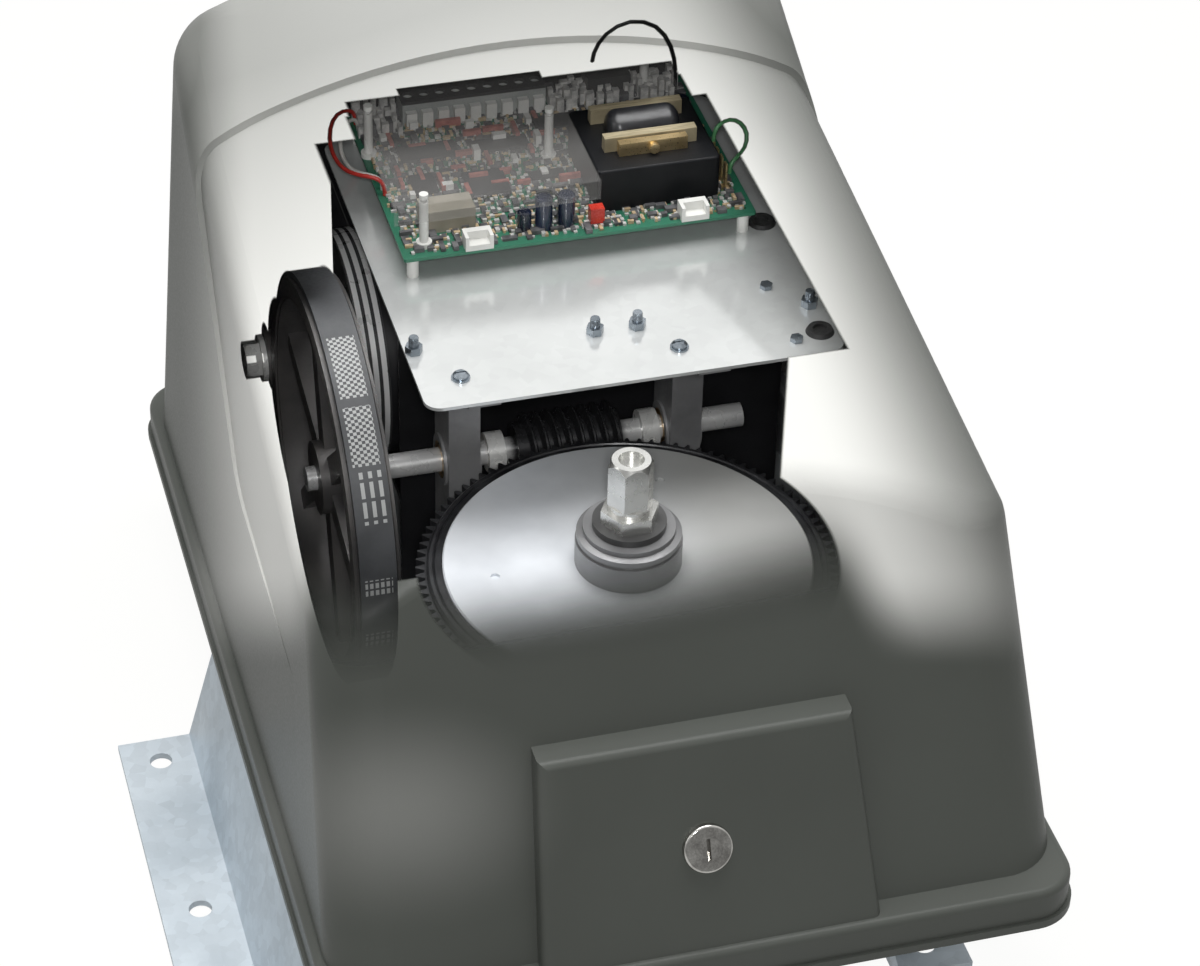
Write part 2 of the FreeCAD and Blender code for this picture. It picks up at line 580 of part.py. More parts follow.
# Worm shaft: a right-hand thread between two bearing bars, with the drive pulley on its left end
def worm_shaft():
    root_r = WORM_PITCH_R - 1.25 * GEAR_MODULE
    tip_r = WORM_PITCH_R + GEAR_MODULE
    spread = math.tan(math.radians(PRESSURE_ANGLE_DEG))
    half = THREAD_SHARE * WORM_PITCH / 2
    sink = 1.0
    base = half + (WORM_PITCH_R - root_r + sink) * spread
    tip = half - GEAR_MODULE * spread
    profile = [Vector(root_r - sink, 0, -base), Vector(tip_r, 0, -tip),
               Vector(tip_r, 0, tip), Vector(root_r - sink, 0, base)]
    length = WORM_TURNS * WORM_PITCH
    helix = Part.makeHelix(WORM_PITCH, length, root_r)
    thread = Part.Wire(helix.Edges).makePipeShell([Part.makePolygon(profile + profile[:1])], True, True)
    core = rod(0, 0, -base, root_r, length + 2 * base)
    worm = core.fuse(thread)
    place = Matrix(0, 0, 1, GEAR_X - length / 2, -1, 0, 0, WORM_Y, 0, -1, 0, WORM_Z, 0, 0, 0, 1)
    worm = moved(worm, place)
    shaft = rod(WORM_SHAFT_X0, WORM_Y, WORM_Z, WORM_SHAFT_R, WORM_SHAFT_X1 - WORM_SHAFT_X0, X_AXIS)
    return worm.fuse(shaft)


def moved(shape, matrix):
    copy = shape.copy()
    copy.Placement = FreeCAD.Placement(matrix)
    return copy


def bearing_bar(x0, x1):
    """Upright with a shaft boss and a foot, and a forward arm that carries the electronics plate."""
    y0, y1 = WORM_Y - BAR_DEPTH / 2, WORM_Y + BAR_DEPTH / 2
    top = PLATE_Z - PLATE_SHEET
    side = [(y0, FLOOR_Z), (y1 + 16, FLOOR_Z), (y1 + 16, FLOOR_Z + 12), (y1, FLOOR_Z + 24), (y1, top),
            (BAR_ARM_Y, top), (BAR_ARM_Y, top - 12), (y0, top - 40)]
    bar = prism_x(side, x0, x1)
    boss = rod(x0 - 1.5, WORM_Y, WORM_Z, BUSH_R + 4, x1 - x0 + 3, X_AXIS)
    seat = rod(x0 - 5, WORM_Y, WORM_Z, BUSH_R, x1 - x0 + 10, X_AXIS)
    return bar.fuse(boss).cut(seat)


def shaft_bush(x0, x1):
    return ring(x0 - 1.5, WORM_Y, WORM_Z, BUSH_R, WORM_SHAFT_R + RUNNING_GAP, x1 - x0 + 3, X_AXIS)


def shaft_collars():
    rings = []
    for x in COLLAR_X:
        body = ring(x, WORM_Y, WORM_Z, COLLAR_R, WORM_SHAFT_R, COLLAR_WIDTH, X_AXIS)
        grub = rod(x + COLLAR_WIDTH / 2, WORM_Y - COLLAR_R - 1, WORM_Z, 2.0, 3, Y_AXIS)
        rings.append(body.cut(grub))
    return group(rings)


def drive_pulley():
    """Spoked pulley: grooved hub, six tapered arms and a deep rim with low side flanges."""
    x0 = BELT_X - PULLEY_WIDTH / 2
    rim = ring(x0, WORM_Y, WORM_Z, DRIVE_PULLEY_R, DRIVE_PULLEY_R - 11, PULLEY_WIDTH, X_AXIS)
    lip = ring(x0 - 1.2, WORM_Y, WORM_Z, DRIVE_PULLEY_R + 1.5, DRIVE_PULLEY_R - 9, 1.6, X_AXIS)
    far_lip = lip.translated(Vector(PULLEY_WIDTH + 0.8, 0, 0))
    hub = rod(x0 + 1, WORM_Y, WORM_Z, 21, PULLEY_WIDTH + 3, X_AXIS)
    arms = []
    for i in range(PULLEY_SPOKES):
        arm = prism_x([(15, -8), (DRIVE_PULLEY_R - 9, -5.5), (DRIVE_PULLEY_R - 9, 5.5), (15, 8)],
                      x0 + 6, x0 + PULLEY_WIDTH - 6)
        arm.rotate(Vector(0, 0, 0), X_AXIS, 360 / PULLEY_SPOKES * (i + 0.25))
        arm.translate(Vector(0, WORM_Y, WORM_Z))
        arms.append(arm)
    bore = rod(x0 - 20, WORM_Y, WORM_Z, WORM_SHAFT_R, 80, X_AXIS)
    return joined([rim, lip, far_lip, hub] + arms).cut(bore)


# Belt: a loop round both pulleys, drawn as the straight runs that touch two circles
def belt_loop(big_r, small_r, x):
    big, small = Vector(x, WORM_Y, WORM_Z), Vector(x, MOTOR_Y, MOTOR_Z)
    span = small - big
    heading = math.atan2(span.z, span.y)
    open_angle = math.acos((big_r - small_r) / span.Length)

    def at(centre, r, angle):
        return centre + Vector(0, r * math.cos(angle), r * math.sin(angle))

    up, down = heading + open_angle, heading - open_angle
    far = heading + math.pi
    edges = [Part.Arc(at(big, big_r, up), at(big, big_r, far), at(big, big_r, down)).toShape(),
             Part.LineSegment(at(big, big_r, down), at(small, small_r, down)).toShape(),
             Part.Arc(at(small, small_r, down), at(small, small_r, heading),
                      at(small, small_r, up)).toShape(),
             Part.LineSegment(at(small, small_r, up), at(big, big_r, up)).toShape()]
    return Part.Face(Part.Wire(edges))


def drive_belt():
    x0 = BELT_X - BELT_WIDTH / 2
    big_r, small_r = DRIVE_PULLEY_R + BELT_GAP, MOTOR_PULLEY_R + BELT_GAP
    outer = belt_loop(big_r + BELT_T, small_r + BELT_T, x0)
    inner = belt_loop(big_r, small_r, x0)
    return outer.extrude(X_AXIS * BELT_WIDTH).cut(inner.extrude(X_AXIS * BELT_WIDTH))


# Motor: wound stator in a can between two end bells, on a cradle
def motor_can():
    length = MOTOR_X1 - MOTOR_X0 - 2 * MOTOR_BELL_T
    return ring(MOTOR_X0 + MOTOR_BELL_T, MOTOR_Y, MOTOR_Z, MOTOR_R, MOTOR_R - 4, length, X_AXIS)


def motor_stator():
    length = MOTOR_X1 - MOTOR_X0 - 2 * MOTOR_BELL_T - 40
    return ring(MOTOR_X0 + MOTOR_BELL_T + 20, MOTOR_Y, MOTOR_Z, MOTOR_R - 4, 40.5, length, X_AXIS)


def motor_end(x, out):
    """End bell with a rim, a dished face with vents, and a bearing boss."""
    start = x if out < 0 else x - MOTOR_BELL_T
    face_x = x if out < 0 else x - 5
    rim = ring(start, MOTOR_Y, MOTOR_Z, MOTOR_BELL_R, MOTOR_BELL_R - 6, MOTOR_BELL_T, X_AXIS)
    face = rod(face_x, MOTOR_Y, MOTOR_Z, MOTOR_BELL_R - 3, 5, X_AXIS)
    boss = rod(start - 2, MOTOR_Y, MOTOR_Z, 20, MOTOR_BELL_T + 4, X_AXIS)
    cuts = [rod(start - 20, MOTOR_Y, MOTOR_Z, MOTOR_SHAFT_R + RUNNING_GAP, 80, X_AXIS)]
    for i in range(6):
        turn = math.radians(60 * i + 30)
        y, z = MOTOR_Y + 42 * math.cos(turn), MOTOR_Z + 42 * math.sin(turn)
        cuts.append(rod(face_x - 5, y, z, 9, 20, X_AXIS))
    return joined([rim, face, boss]).cut(cuts)


def motor_cradle():
    floor = block(MOTOR_X0 + 30, MOTOR_Y - 55, FLOOR_Z, MOTOR_X1 - 30, MOTOR_Y + 55, FLOOR_Z + 5)
    saddles = []
    for x in (MOTOR_X0 + 35, MOTOR_X1 - 43):
        saddles.append(block(x, MOTOR_Y - 45, FLOOR_Z, x + 8, MOTOR_Y + 45, MOTOR_Z - 30))
    return joined([floor] + saddles).cut(rod(MOTOR_X0, MOTOR_Y, MOTOR_Z, MOTOR_R, 300, X_AXIS))


def motor_shaft():
    end = BELT_X - PULLEY_WIDTH / 2 - 1
    return rod(end, MOTOR_Y, MOTOR_Z, MOTOR_SHAFT_R, MOTOR_X1 + 6 - end, X_AXIS)


def motor_rotor():
    length = MOTOR_X1 - MOTOR_X0 - 2 * MOTOR_BELL_T - 40
    return ring(MOTOR_X0 + MOTOR_BELL_T + 20, MOTOR_Y, MOTOR_Z, 40, MOTOR_SHAFT_R, length, X_AXIS)


def motor_pulley():
    x0 = BELT_X - PULLEY_WIDTH / 2
    body = rod(x0, MOTOR_Y, MOTOR_Z, MOTOR_PULLEY_R, PULLEY_WIDTH + 4, X_AXIS)
    lips = [rod(x, MOTOR_Y, MOTOR_Z, MOTOR_PULLEY_R + 2.5, 1.2, X_AXIS)
            for x in (x0 - 0.9, x0 + PULLEY_WIDTH - 0.3)]
    return joined([body] + lips).cut(rod(x0 - 20, MOTOR_Y, MOTOR_Z, MOTOR_SHAFT_R, 80, X_AXIS))


def pulley_washer():
    x = BELT_X - PULLEY_WIDTH / 2 - 1
    return rod(x - 3, MOTOR_Y, MOTOR_Z, 14, 3, X_AXIS)


def pulley_bolt():
    x = BELT_X - PULLEY_WIDTH / 2 - 4
    head = hexagon(Vector(x, MOTOR_Y, MOTOR_Z), 19, 9, -X_AXIS)
    return head.common(Part.makeCone(9.6, 14, 9, Vector(x - 9, MOTOR_Y, MOTOR_Z), X_AXIS))


def motor_enclosure():
    """Black sheet walls in front of, beside and behind the motor, under the electronics plate."""
    t = ENCLOSURE_T
    top = PLATE_Z - PLATE_SHEET
    front = block(FRONT_WALL_X0, ENCLOSURE_FRONT_Y, FLOOR_Z, ENCLOSURE_X1, ENCLOSURE_FRONT_Y + t, top)
    side = block(ENCLOSURE_X1 - t, ENCLOSURE_FRONT_Y, FLOOR_Z, ENCLOSURE_X1, ENCLOSURE_REAR_Y, top)
    rear = block(PLATE_X0 - 3, ENCLOSURE_REAR_Y - t, FLOOR_Z, ENCLOSURE_X1, ENCLOSURE_REAR_Y, REAR_PANEL_Z)
    return joined([front, side, rear])


# Electronics: zinc plate on the bearing bars and the enclosure, with the control board above it
def electronics_plate():
    plate = slab(PLATE_X0, PLATE_Y0, PLATE_X1, PLATE_Y1, PLATE_Z - PLATE_SHEET, PLATE_Z, 9.0)
    holes = [rod(x, y, PLATE_Z - 10, 2.2, 20) for x, y in PLATE_SCREWS]
    holes += [rod(x, y, PLATE_Z - 10, GROMMET_R - 2, 20) for x, y in PLATE_GROMMETS]
    return plate.cut(holes)


def plate_screws():
    screws = []
    for x, y in PLATE_SCREWS:
        washer = rod(x, y, PLATE_Z, 5.2, 1.0)
        head = rod(x, y, PLATE_Z + 1, 4.2, 1.6)
        crown = Part.makeCone(4.2, 2.6, 1.4, Vector(x, y, PLATE_Z + 2.6))
        slot = block(x - 5, y - 0.5, PLATE_Z + 3.0, x + 5, y + 0.5, PLATE_Z + 5)
        shank = rod(x, y, PLATE_Z - PLATE_SHEET, 2.2, 4)
        screws.append(joined([washer, head, crown, shank]).cut(slot))
    return group(screws)


def plate_studs():
    return group([joined([rod(x, y, PLATE_Z, 2.5, 10), hexagon(Vector(x, y, PLATE_Z), 8.5, 4.5, Z_AXIS)])
                  for x, y in PLATE_STUDS])


def plate_nuts():
    return group([hexagon(Vector(x, y, PLATE_Z), 6.5, 2.5, Z_AXIS) for x, y in PLATE_NUTS])


def plate_grommets():
    rings = []
    for x, y in PLATE_GROMMETS:
        neck = rod(x, y, PLATE_Z - PLATE_SHEET, GROMMET_R - 2, PLATE_SHEET + 0.5)
        collar = Part.makeCone(GROMMET_R, GROMMET_R - 1.2, 2.4, Vector(x, y, PLATE_Z))
        rings.append(joined([neck, collar]).cut(rod(x, y, PLATE_Z + 0.6, GROMMET_R - 4, 10)))
    return group(rings)


def circuit_board():
    board = slab(BOARD_X0, BOARD_Y0, BOARD_X1, BOARD_Y1, BOARD_Z, BOARD_TOP_Z, 2.0)
    return board.cut([rod(x, y, BOARD_Z - 5, 1.6, 10) for x, y in board_corner_places()])


def board_corner_places():
    return [(x, y) for x in (BOARD_X0 + 6, BOARD_X1 - 6) for y in (BOARD_Y0 + 6, BOARD_Y1 - 6)]


def board_standoffs():
    return group([ring(x, y, PLATE_Z, 3.4, 1.6, BOARD_Z - PLATE_Z) for x, y in board_corner_places()])


def board_cover():
    """Clear cover: a flat sheet cut away round the transformer, folded down at its front edge."""
    z0, z1 = CLEAR_TOP_Z - CLEAR_T, CLEAR_TOP_Z
    corners = ((CLEAR_X0, CLEAR_Y0), (CLEAR_STEP_X, CLEAR_Y0), (CLEAR_STEP_X, CLEAR_STEP_Y),
               (CLEAR_X1, CLEAR_STEP_Y), (CLEAR_X1, CLEAR_Y1), (CLEAR_X0, CLEAR_Y1))
    points = [Vector(x, y, z0) for x, y in corners]
    sheet = Part.Face(Part.makePolygon(points + points[:1])).extrude(Vector(0, 0, CLEAR_T))
    apron = block(CLEAR_X0, CLEAR_Y0, z1 - 12, CLEAR_STEP_X, CLEAR_Y0 + CLEAR_T, z1)
    return joined([sheet, apron])


def cover_posts():
    posts = []
    for x, y in POSTS:
        post = rod(x, y, BOARD_TOP_Z, 2.6, CLEAR_TOP_Z + 3 - BOARD_TOP_Z)
        foot = rod(x, y, BOARD_TOP_Z, 4.5, 3.0)
        groove = ring(x, y, CLEAR_TOP_Z - CLEAR_T - 0.2, 4.0, 1.8, CLEAR_T + 0.4)
        posts.append(joined([post, foot]).cut(groove))
    return group(posts)


def clear_sheet_holes():
    return [rod(x, y, CLEAR_TOP_Z - 10, 1.9, 20) for x, y in POSTS]


def transformer_case():
    x0, x1, y0, y1 = CASE_X0, CASE_X1, CASE_Y0, CASE_Y1
    case = slab(x0, y0, x1, y1, BOARD_TOP_Z, CASE_TOP_Z, 3.0)
    return rounded_edges(case, 1.5, lambda p, e: p.z > CASE_TOP_Z - 0.1)


def transformer_core():
    middle_x, middle_y = (CASE_X0 + CASE_X1) / 2, (CASE_Y0 + CASE_Y1) / 2 + 4
    sheets = []
    for side in (-1, 1):
        y = middle_y + side * 15
        sheets.append(block(middle_x - 27, y - 3, CASE_TOP_Z, middle_x + 27, y + 3, CASE_TOP_Z + 9))
    return group(sheets)


def transformer_winding():
    middle_x, middle_y = (CASE_X0 + CASE_X1) / 2, (CASE_Y0 + CASE_Y1) / 2 + 4
    coil = rod(middle_x - 21, middle_y, CASE_TOP_Z + 3, 11.5, 42, X_AXIS)
    coil = rounded_edges(coil, 7.0, lambda p, e: abs(p.x - middle_x) > 20)
    keep = block(middle_x - 30, middle_y - 15, CASE_TOP_Z, middle_x + 30, middle_y + 15, CASE_TOP_Z + 40)
    return coil.common(keep)


def transformer_clip():
    """Brass strap over the front of the winding, with its screw."""
    middle_x, front = (CASE_X0 + CASE_X1) / 2, (CASE_Y0 + CASE_Y1) / 2 - 20
    bar = block(middle_x - 20, front, CASE_TOP_Z, middle_x + 20, front + 5, CASE_TOP_Z + 8)
    screw = rod(middle_x, front - 3, CASE_TOP_Z + 4, 3.0, 6, Y_AXIS)
    return joined([bar, screw])


def on_board(x0, y0, x1, y1, height):
    return block(x0, y0, BOARD_TOP_Z, x1, y1, BOARD_TOP_Z + height)


def terminal_strip():
    pitch = (STRIP_X1 - STRIP_X0) / STRIP_POLES
    y0, y1 = BOARD_Y1 - 18, BOARD_Y1 - 2
    strip = on_board(STRIP_X0, y0, STRIP_X1, y1, 16)
    cuts = []
    for i in range(STRIP_POLES):
        x = STRIP_X0 + pitch * (i + 0.5)
        cuts.append(rod(x, (y0 + y1) / 2, BOARD_TOP_Z + 12, pitch * 0.32, 10))
    return strip.cut(cuts)


def board_chips():
    return group([on_board(x, y, x + w, y + d, 3.2) for x, y, w, d in CHIPS])


def board_relays():
    return group([on_board(x, y, x + w, y + d, h) for x, y, w, d, h in RELAYS])


def board_capacitors():
    cans = []
    for x, y, r, h in CAPACITORS:
        can = rod(x, y, BOARD_TOP_Z, r, h - 1)
        cans.append(can.fuse(Part.makeCone(r, r - 1, 1, Vector(x, y, BOARD_TOP_Z + h - 1))))
    return group(cans)


def board_connectors():
    plugs = []
    for x, y in CONNECTORS:
        body = on_board(x - 8, y, x + 8, y + 10, 9)
        plugs.append(body.cut(on_board(x - 6, y - 1, x + 6, y + 6, 7).translated(Vector(0, 0, 3.5))))
    return group(plugs)


def board_fuse():
    return on_board(FUSE_X - 4, BOARD_Y0 + 8, FUSE_X + 4, BOARD_Y0 + 14, 11)


def brass_terminals():
    pins = []
    for i in range(4):
        y = CASE_Y0 + 6 + 8 * i
        foot = on_board(CASE_X1 + 3, y, CASE_X1 + 9, y + 4, 2)
        blade = on_board(CASE_X1 + 5, y, CASE_X1 + 6.2, y + 4, 17)
        pins.append(joined([foot, blade]))
    return group(pins)


# Leads: round wire in straight runs joined by arcs as large as the runs allow
def lead(points, radius):
    corners = [Vector(*p) for p in points]
    edges, start, bends, length = [], corners[0], [], 0.0
    for before, corner, after in zip(corners, corners[1:], corners[2:]):
        into, out = before - corner, after - corner
        shorter = min(into.Length, out.Length)
        into.normalize()
        out.normalize()
        half = into.getAngle(out) / 2
        reach = 0.45 * shorter
        bends.append(round(reach * math.tan(half), 1))
        middle = (into + out).normalize()
        centre = corner + middle * (reach / math.cos(half))
        first, last = corner + into * reach, corner + out * reach
        edges.append(Part.LineSegment(start, first).toShape())
        edges.append(Part.Arc(first, centre - middle * (reach * math.tan(half)), last).toShape())
        start = last
    edges.append(Part.LineSegment(start, corners[-1]).toShape())
    path = Part.Wire(edges)
    ring_wire = Part.Wire(Part.makeCircle(radius, corners[0], corners[1] - corners[0]))
    tube = path.makePipeShell([ring_wire], True, True)
    print("lead bends", bends, "length", round(path.Length, 1),
          "volume ratio", round(tube.Volume / (path.Length * math.pi * radius ** 2), 3))
    return tube


def main():
    os.makedirs("parts", exist_ok=True)
    bars = ((LEFT_BAR_X0, LEFT_BAR_X0 + BAR_WIDTH), (RIGHT_BAR_X0, RIGHT_BAR_X0 + BAR_WIDTH))
    pieces = {
        "mounting_base": mounting_base(),
        "chassis_plate": chassis_plate(),
        "chassis_bolts": chassis_bolts(),
        "side_rail_left": side_rail(-1),
        "side_rail_right": side_rail(1),
        "output_bearing": output_bearing(),
        "bearing_bar_left": bearing_bar(*bars[0]),
        "bearing_bar_right": bearing_bar(*bars[1]),
        "shaft_bush_left": shaft_bush(*bars[0]),
        "shaft_bush_right": shaft_bush(*bars[1]),
        "motor_enclosure": motor_enclosure(),
        "motor_can": motor_can(),
        "motor_stator": motor_stator(),
        "motor_end_pulley_side": motor_end(MOTOR_X0, -1),
        "motor_end_far_side": motor_end(MOTOR_X1, 1),
        "motor_cradle": motor_cradle(),
        "drive_belt": drive_belt(),
        "electronics_plate": electronics_plate(),
        "plate_screws": plate_screws(),
        "plate_studs": plate_studs(),
        "plate_nuts": plate_nuts(),
        "plate_grommets": plate_grommets(),
        "circuit_board": circuit_board(),
        "board_standoffs": board_standoffs(),
        "board_cover": board_cover().cut(clear_sheet_holes()),
        "cover_posts": cover_posts(),
        "transformer_case": transformer_case(),
        "transformer_core": transformer_core(),
        "transformer_winding": transformer_winding(),
        "transformer_clip": transformer_clip(),
        "terminal_strip": terminal_strip(),
        "board_chips": board_chips(),
        "board_relays": board_relays(),
        "board_capacitors": board_capacitors(),
        "board_connectors": board_connectors(),
        "board_fuse": board_fuse(),
        "brass_terminals": brass_terminals(),
        "red_lead": lead(RED_LEAD, LEAD_R),
        "white_lead": lead(WHITE_LEAD, LEAD_R),
        "black_lead": lead(BLACK_LEAD, LEAD_R),
        "green_lead": lead(GREEN_LEAD, LEAD_R),
        "worm_wheel": worm_wheel(),
        "wheel_disc": wheel_disc(),
        "hub_collar": hub_collar(),
        "hub_washer": hub_washer(),
        "hub_bolt": hub_bolt(),
        "output_shaft": output_shaft(),
        "worm_shaft": worm_shaft(),
        "drive_pulley": drive_pulley(),
        "shaft_collars": shaft_collars(),
        "motor_shaft": motor_shaft(),
        "motor_rotor": motor_rotor(),
        "motor_pulley": motor_pulley(),
        "pulley_washer": pulley_washer(),
        "pulley_bolt": pulley_bolt(),
        "cover_shell": cover_shell(),
        "lock_housing": lock_housing(),
        "lock_plug": lock_plug(),
        "lock_cam": lock_cam(),
    }
    for name, shape in pieces.items():
        shape.translated(ORIGIN_SHIFT).exportStep("parts/" + name + ".step")


main()
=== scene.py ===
import math
import bpy
from mathutils import Matrix, Vector


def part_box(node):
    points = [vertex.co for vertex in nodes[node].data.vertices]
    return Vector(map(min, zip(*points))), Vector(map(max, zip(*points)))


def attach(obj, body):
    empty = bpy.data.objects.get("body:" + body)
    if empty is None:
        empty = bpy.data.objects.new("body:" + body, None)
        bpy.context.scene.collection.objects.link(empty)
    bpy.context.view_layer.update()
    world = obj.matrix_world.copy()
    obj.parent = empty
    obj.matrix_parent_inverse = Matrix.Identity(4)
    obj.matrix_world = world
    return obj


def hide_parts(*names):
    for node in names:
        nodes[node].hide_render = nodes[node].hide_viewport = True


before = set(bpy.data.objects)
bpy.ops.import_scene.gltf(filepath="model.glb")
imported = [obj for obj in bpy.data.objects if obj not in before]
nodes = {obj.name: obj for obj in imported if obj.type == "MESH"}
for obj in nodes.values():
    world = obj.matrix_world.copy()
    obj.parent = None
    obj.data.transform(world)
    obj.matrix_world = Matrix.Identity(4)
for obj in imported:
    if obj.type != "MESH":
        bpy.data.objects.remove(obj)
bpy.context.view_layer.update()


# Mounting base.
# A hat-shaped plate of galvanized steel sheet, bolted to a concrete pad through its two flanges.
# It is folded from one sheet and punched, and its zinc shows a faint crystal spangle.
def node_of(tree, kind, sockets=None, **settings):
    """A new node. Each socket that is given takes a plain value or a link from another node's output."""
    node = tree.nodes.new(kind)
    for name, value in settings.items():
        setattr(node, name, value)
    for socket, value in (sockets or {}).items():
        if isinstance(value, bpy.types.NodeSocket):
            tree.links.new(value, node.inputs[socket])
        else:
            node.inputs[socket].default_value = value
    return node


def ramp(tree, value, start, end, low=0.0, high=1.0, shape="SMOOTHSTEP"):
    """Goes from low to high while a value goes from start to end."""
    sockets = {"Value": value, "From Min": start, "From Max": end, "To Min": low, "To Max": high}
    return node_of(tree, "ShaderNodeMapRange", sockets, interpolation_type=shape).outputs["Result"]


def object_place(tree, scale=(1, 1, 1), centre=(0, 0, 0)):
    """Object coordinates about a centre, stretched by a scale."""
    place = node_of(tree, "ShaderNodeTexCoord").outputs["Object"]
    shift = [-c * s for c, s in zip(centre, scale)]
    return node_of(tree, "ShaderNodeMapping", {"Vector": place, "Location": shift, "Scale": scale},
                   vector_type="POINT").outputs["Vector"]


def dress(material, *names):
    for name in names:
        nodes[name].data.materials.clear()
        nodes[name].data.materials.append(material)


def add_sockets(tree, in_out, kinds):
    for name, kind in kinds.items():
        tree.interface.new_socket(name, in_out=in_out, socket_type="NodeSocket" + kind)


PATCH_SPAN = (0.32, 0.68)
GRAIN_SPAN = (0.3, 0.7)


def patchy_group():
    """Slow changes of tone over a surface, with a fine grain that changes its gloss."""
    group = bpy.data.node_groups.new("patchy_finish", "ShaderNodeTree")
    add_sockets(group, "INPUT", {"Vector": "Vector", "Patch Scale": "Float", "Grain Scale": "Float",
                                 "Light Tone": "Color", "Dark Tone": "Color", "Smoothest": "Float",
                                 "Roughest": "Float"})
    add_sockets(group, "OUTPUT", {"Tone": "Color", "Gloss": "Float", "Height": "Float"})
    given = node_of(group, "NodeGroupInput").outputs
    patches, grain = (node_of(group, "ShaderNodeTexNoise", {
        "Vector": given["Vector"], "Scale": given[scale], "Detail": detail}).outputs["Fac"]
        for scale, detail in (("Patch Scale", 5), ("Grain Scale", 3)))
    tone = node_of(group, "ShaderNodeMix", {
        "Factor": ramp(group, patches, *PATCH_SPAN), "A": given["Dark Tone"], "B": given["Light Tone"]},
        data_type="RGBA")
    gloss = ramp(group, grain, *GRAIN_SPAN, given["Smoothest"], given["Roughest"], "LINEAR")
    node_of(group, "NodeGroupOutput", {"Tone": tone.outputs["Result"], "Gloss": gloss, "Height": grain})
    return group


patchy_finish = patchy_group()


def paint(tree, socket, value):
    """Leads a value that changes over the surface to the material's shader."""
    tree.links.new(value, tree.nodes["Principled BSDF"].inputs[socket])


def add_bump(tree, height, depth, strength=1.0):
    """Fine relief with a depth in metres."""
    paint(tree, "Normal", node_of(tree, "ShaderNodeBump", {
        "Height": height, "Distance": depth, "Strength": strength}).outputs["Normal"])


def patchy(name, light, dark, patches, grain, gloss, bump=0.0, stretch=(1, 1, 1), **plain):
    """A material with the patchy finish; its plain values sit on the shader's own sockets."""
    material = bpy.data.materials.new(name)
    material.use_nodes = True
    tree = material.node_tree
    for socket, value in plain.items():
        tree.nodes["Principled BSDF"].inputs[socket.replace("_", " ")].default_value = value
    finish = node_of(tree, "ShaderNodeGroup", {
        "Vector": object_place(tree, stretch), "Patch Scale": patches, "Grain Scale": grain,
        "Light Tone": (*light, 1), "Dark Tone": (*dark, 1), "Smoothest": gloss[0], "Roughest": gloss[1],
    }, node_tree=patchy_finish, name="finish")
    paint(tree, "Base Color", finish.outputs["Tone"])
    paint(tree, "Roughness", finish.outputs["Gloss"])
    if bump:
        add_bump(tree, finish.outputs["Height"], bump)
    return material


def overlay(tree, tone, share, blend="MIX"):
    """Lays a tone over the patchy finish, by a share from 0 to 1."""
    layer = node_of(tree, "ShaderNodeMix", {
        "Factor": share, "A": tree.nodes["finish"].outputs["Tone"], "B": tone}, data_type="RGBA", blend_type=blend)
    paint(tree, "Base Color", layer.outputs["Result"])


def galvanized(name, light, dark, gloss, metal, spangle):
    """Zinc with crystals of slightly different tone, a few millimetres across."""
    material = patchy(name, light, dark, patches=14, grain=420, gloss=gloss, Metallic=metal)
    tree = material.node_tree
    crystals = node_of(tree, "ShaderNodeTexVoronoi", {"Vector": object_place(tree), "Scale": 150})
    shade = ramp(tree, crystals.outputs["Color"], 0, 1, 1 - spangle, 1 + spangle / 3, "LINEAR")
    overlay(tree, shade, 1, "MULTIPLY")
    return material


dress(galvanized("galvanized_base", (0.60, 0.66, 0.71), (0.49, 0.55, 0.60), gloss=(0.38, 0.5), metal=0.75,
                 spangle=0.12), "mounting_base")


# Chassis floor plate and its two side rails.
# Zinc plated steel plate and angle that the cover stands on and every other piece is fixed to.
# The plating is satin, with a tone and a fine grain that are drawn out along the machine.
dress(patchy("zinc_plated_chassis", (0.55, 0.57, 0.58), (0.42, 0.44, 0.45), patches=9, grain=300,
             gloss=(0.32, 0.52), bump=0.00002, stretch=(1, 0.25, 1), Metallic=0.6),
      "chassis_plate", "side_rail_left", "side_rail_right")


# Bright fasteners.
# Zinc plated steel bolts, nuts, washers and screws that hold the plates, the hub and the motor pulley.
# They are cold headed and plated, and those on the electronics plate have a darker, bluish plating.
bright_zinc = patchy("bright_zinc_fastener", (0.74, 0.74, 0.72), (0.60, 0.60, 0.58), patches=60, grain=150,
                     gloss=(0.22, 0.30), Metallic=0.9)
dress(bright_zinc, "chassis_bolts", "hub_bolt")
white_zinc = patchy("white_zinc_fastener", (0.80, 0.80, 0.78), (0.62, 0.62, 0.60), patches=60, grain=150,
                    gloss=(0.24, 0.32), Metallic=0.25)
dress(white_zinc, "pulley_bolt", "pulley_washer")
blued_zinc = patchy("blued_zinc_fastener", (0.34, 0.38, 0.42), (0.20, 0.23, 0.26), patches=90, grain=150,
                    gloss=(0.22, 0.32), Metallic=0.9)
dress(blued_zinc, "plate_screws", "plate_studs", "plate_nuts")


# Output bearing and the two bearing bars.
# Grey iron castings: the flanged housing of the output shaft and the uprights that carry the worm shaft.
# Their machined faces stay bare and show a dark, slightly oily skin.
dress(patchy("grey_iron_casting", (0.34, 0.34, 0.345), (0.22, 0.22, 0.225), patches=30, grain=500,
             gloss=(0.38, 0.55), bump=0.00005, Metallic=0.4),
      "output_bearing", "bearing_bar_left", "bearing_bar_right")


# Shaft bushes.
# Turned bronze sleeves pressed into the bearing bars, in which the worm shaft runs.
# Oil darkens the bronze in patches.
dress(patchy("bush_bronze", (0.60, 0.42, 0.20), (0.45, 0.30, 0.14), patches=60, grain=600, gloss=(0.22, 0.4),
             Metallic=1.0), "shaft_bush_left", "shaft_bush_right")


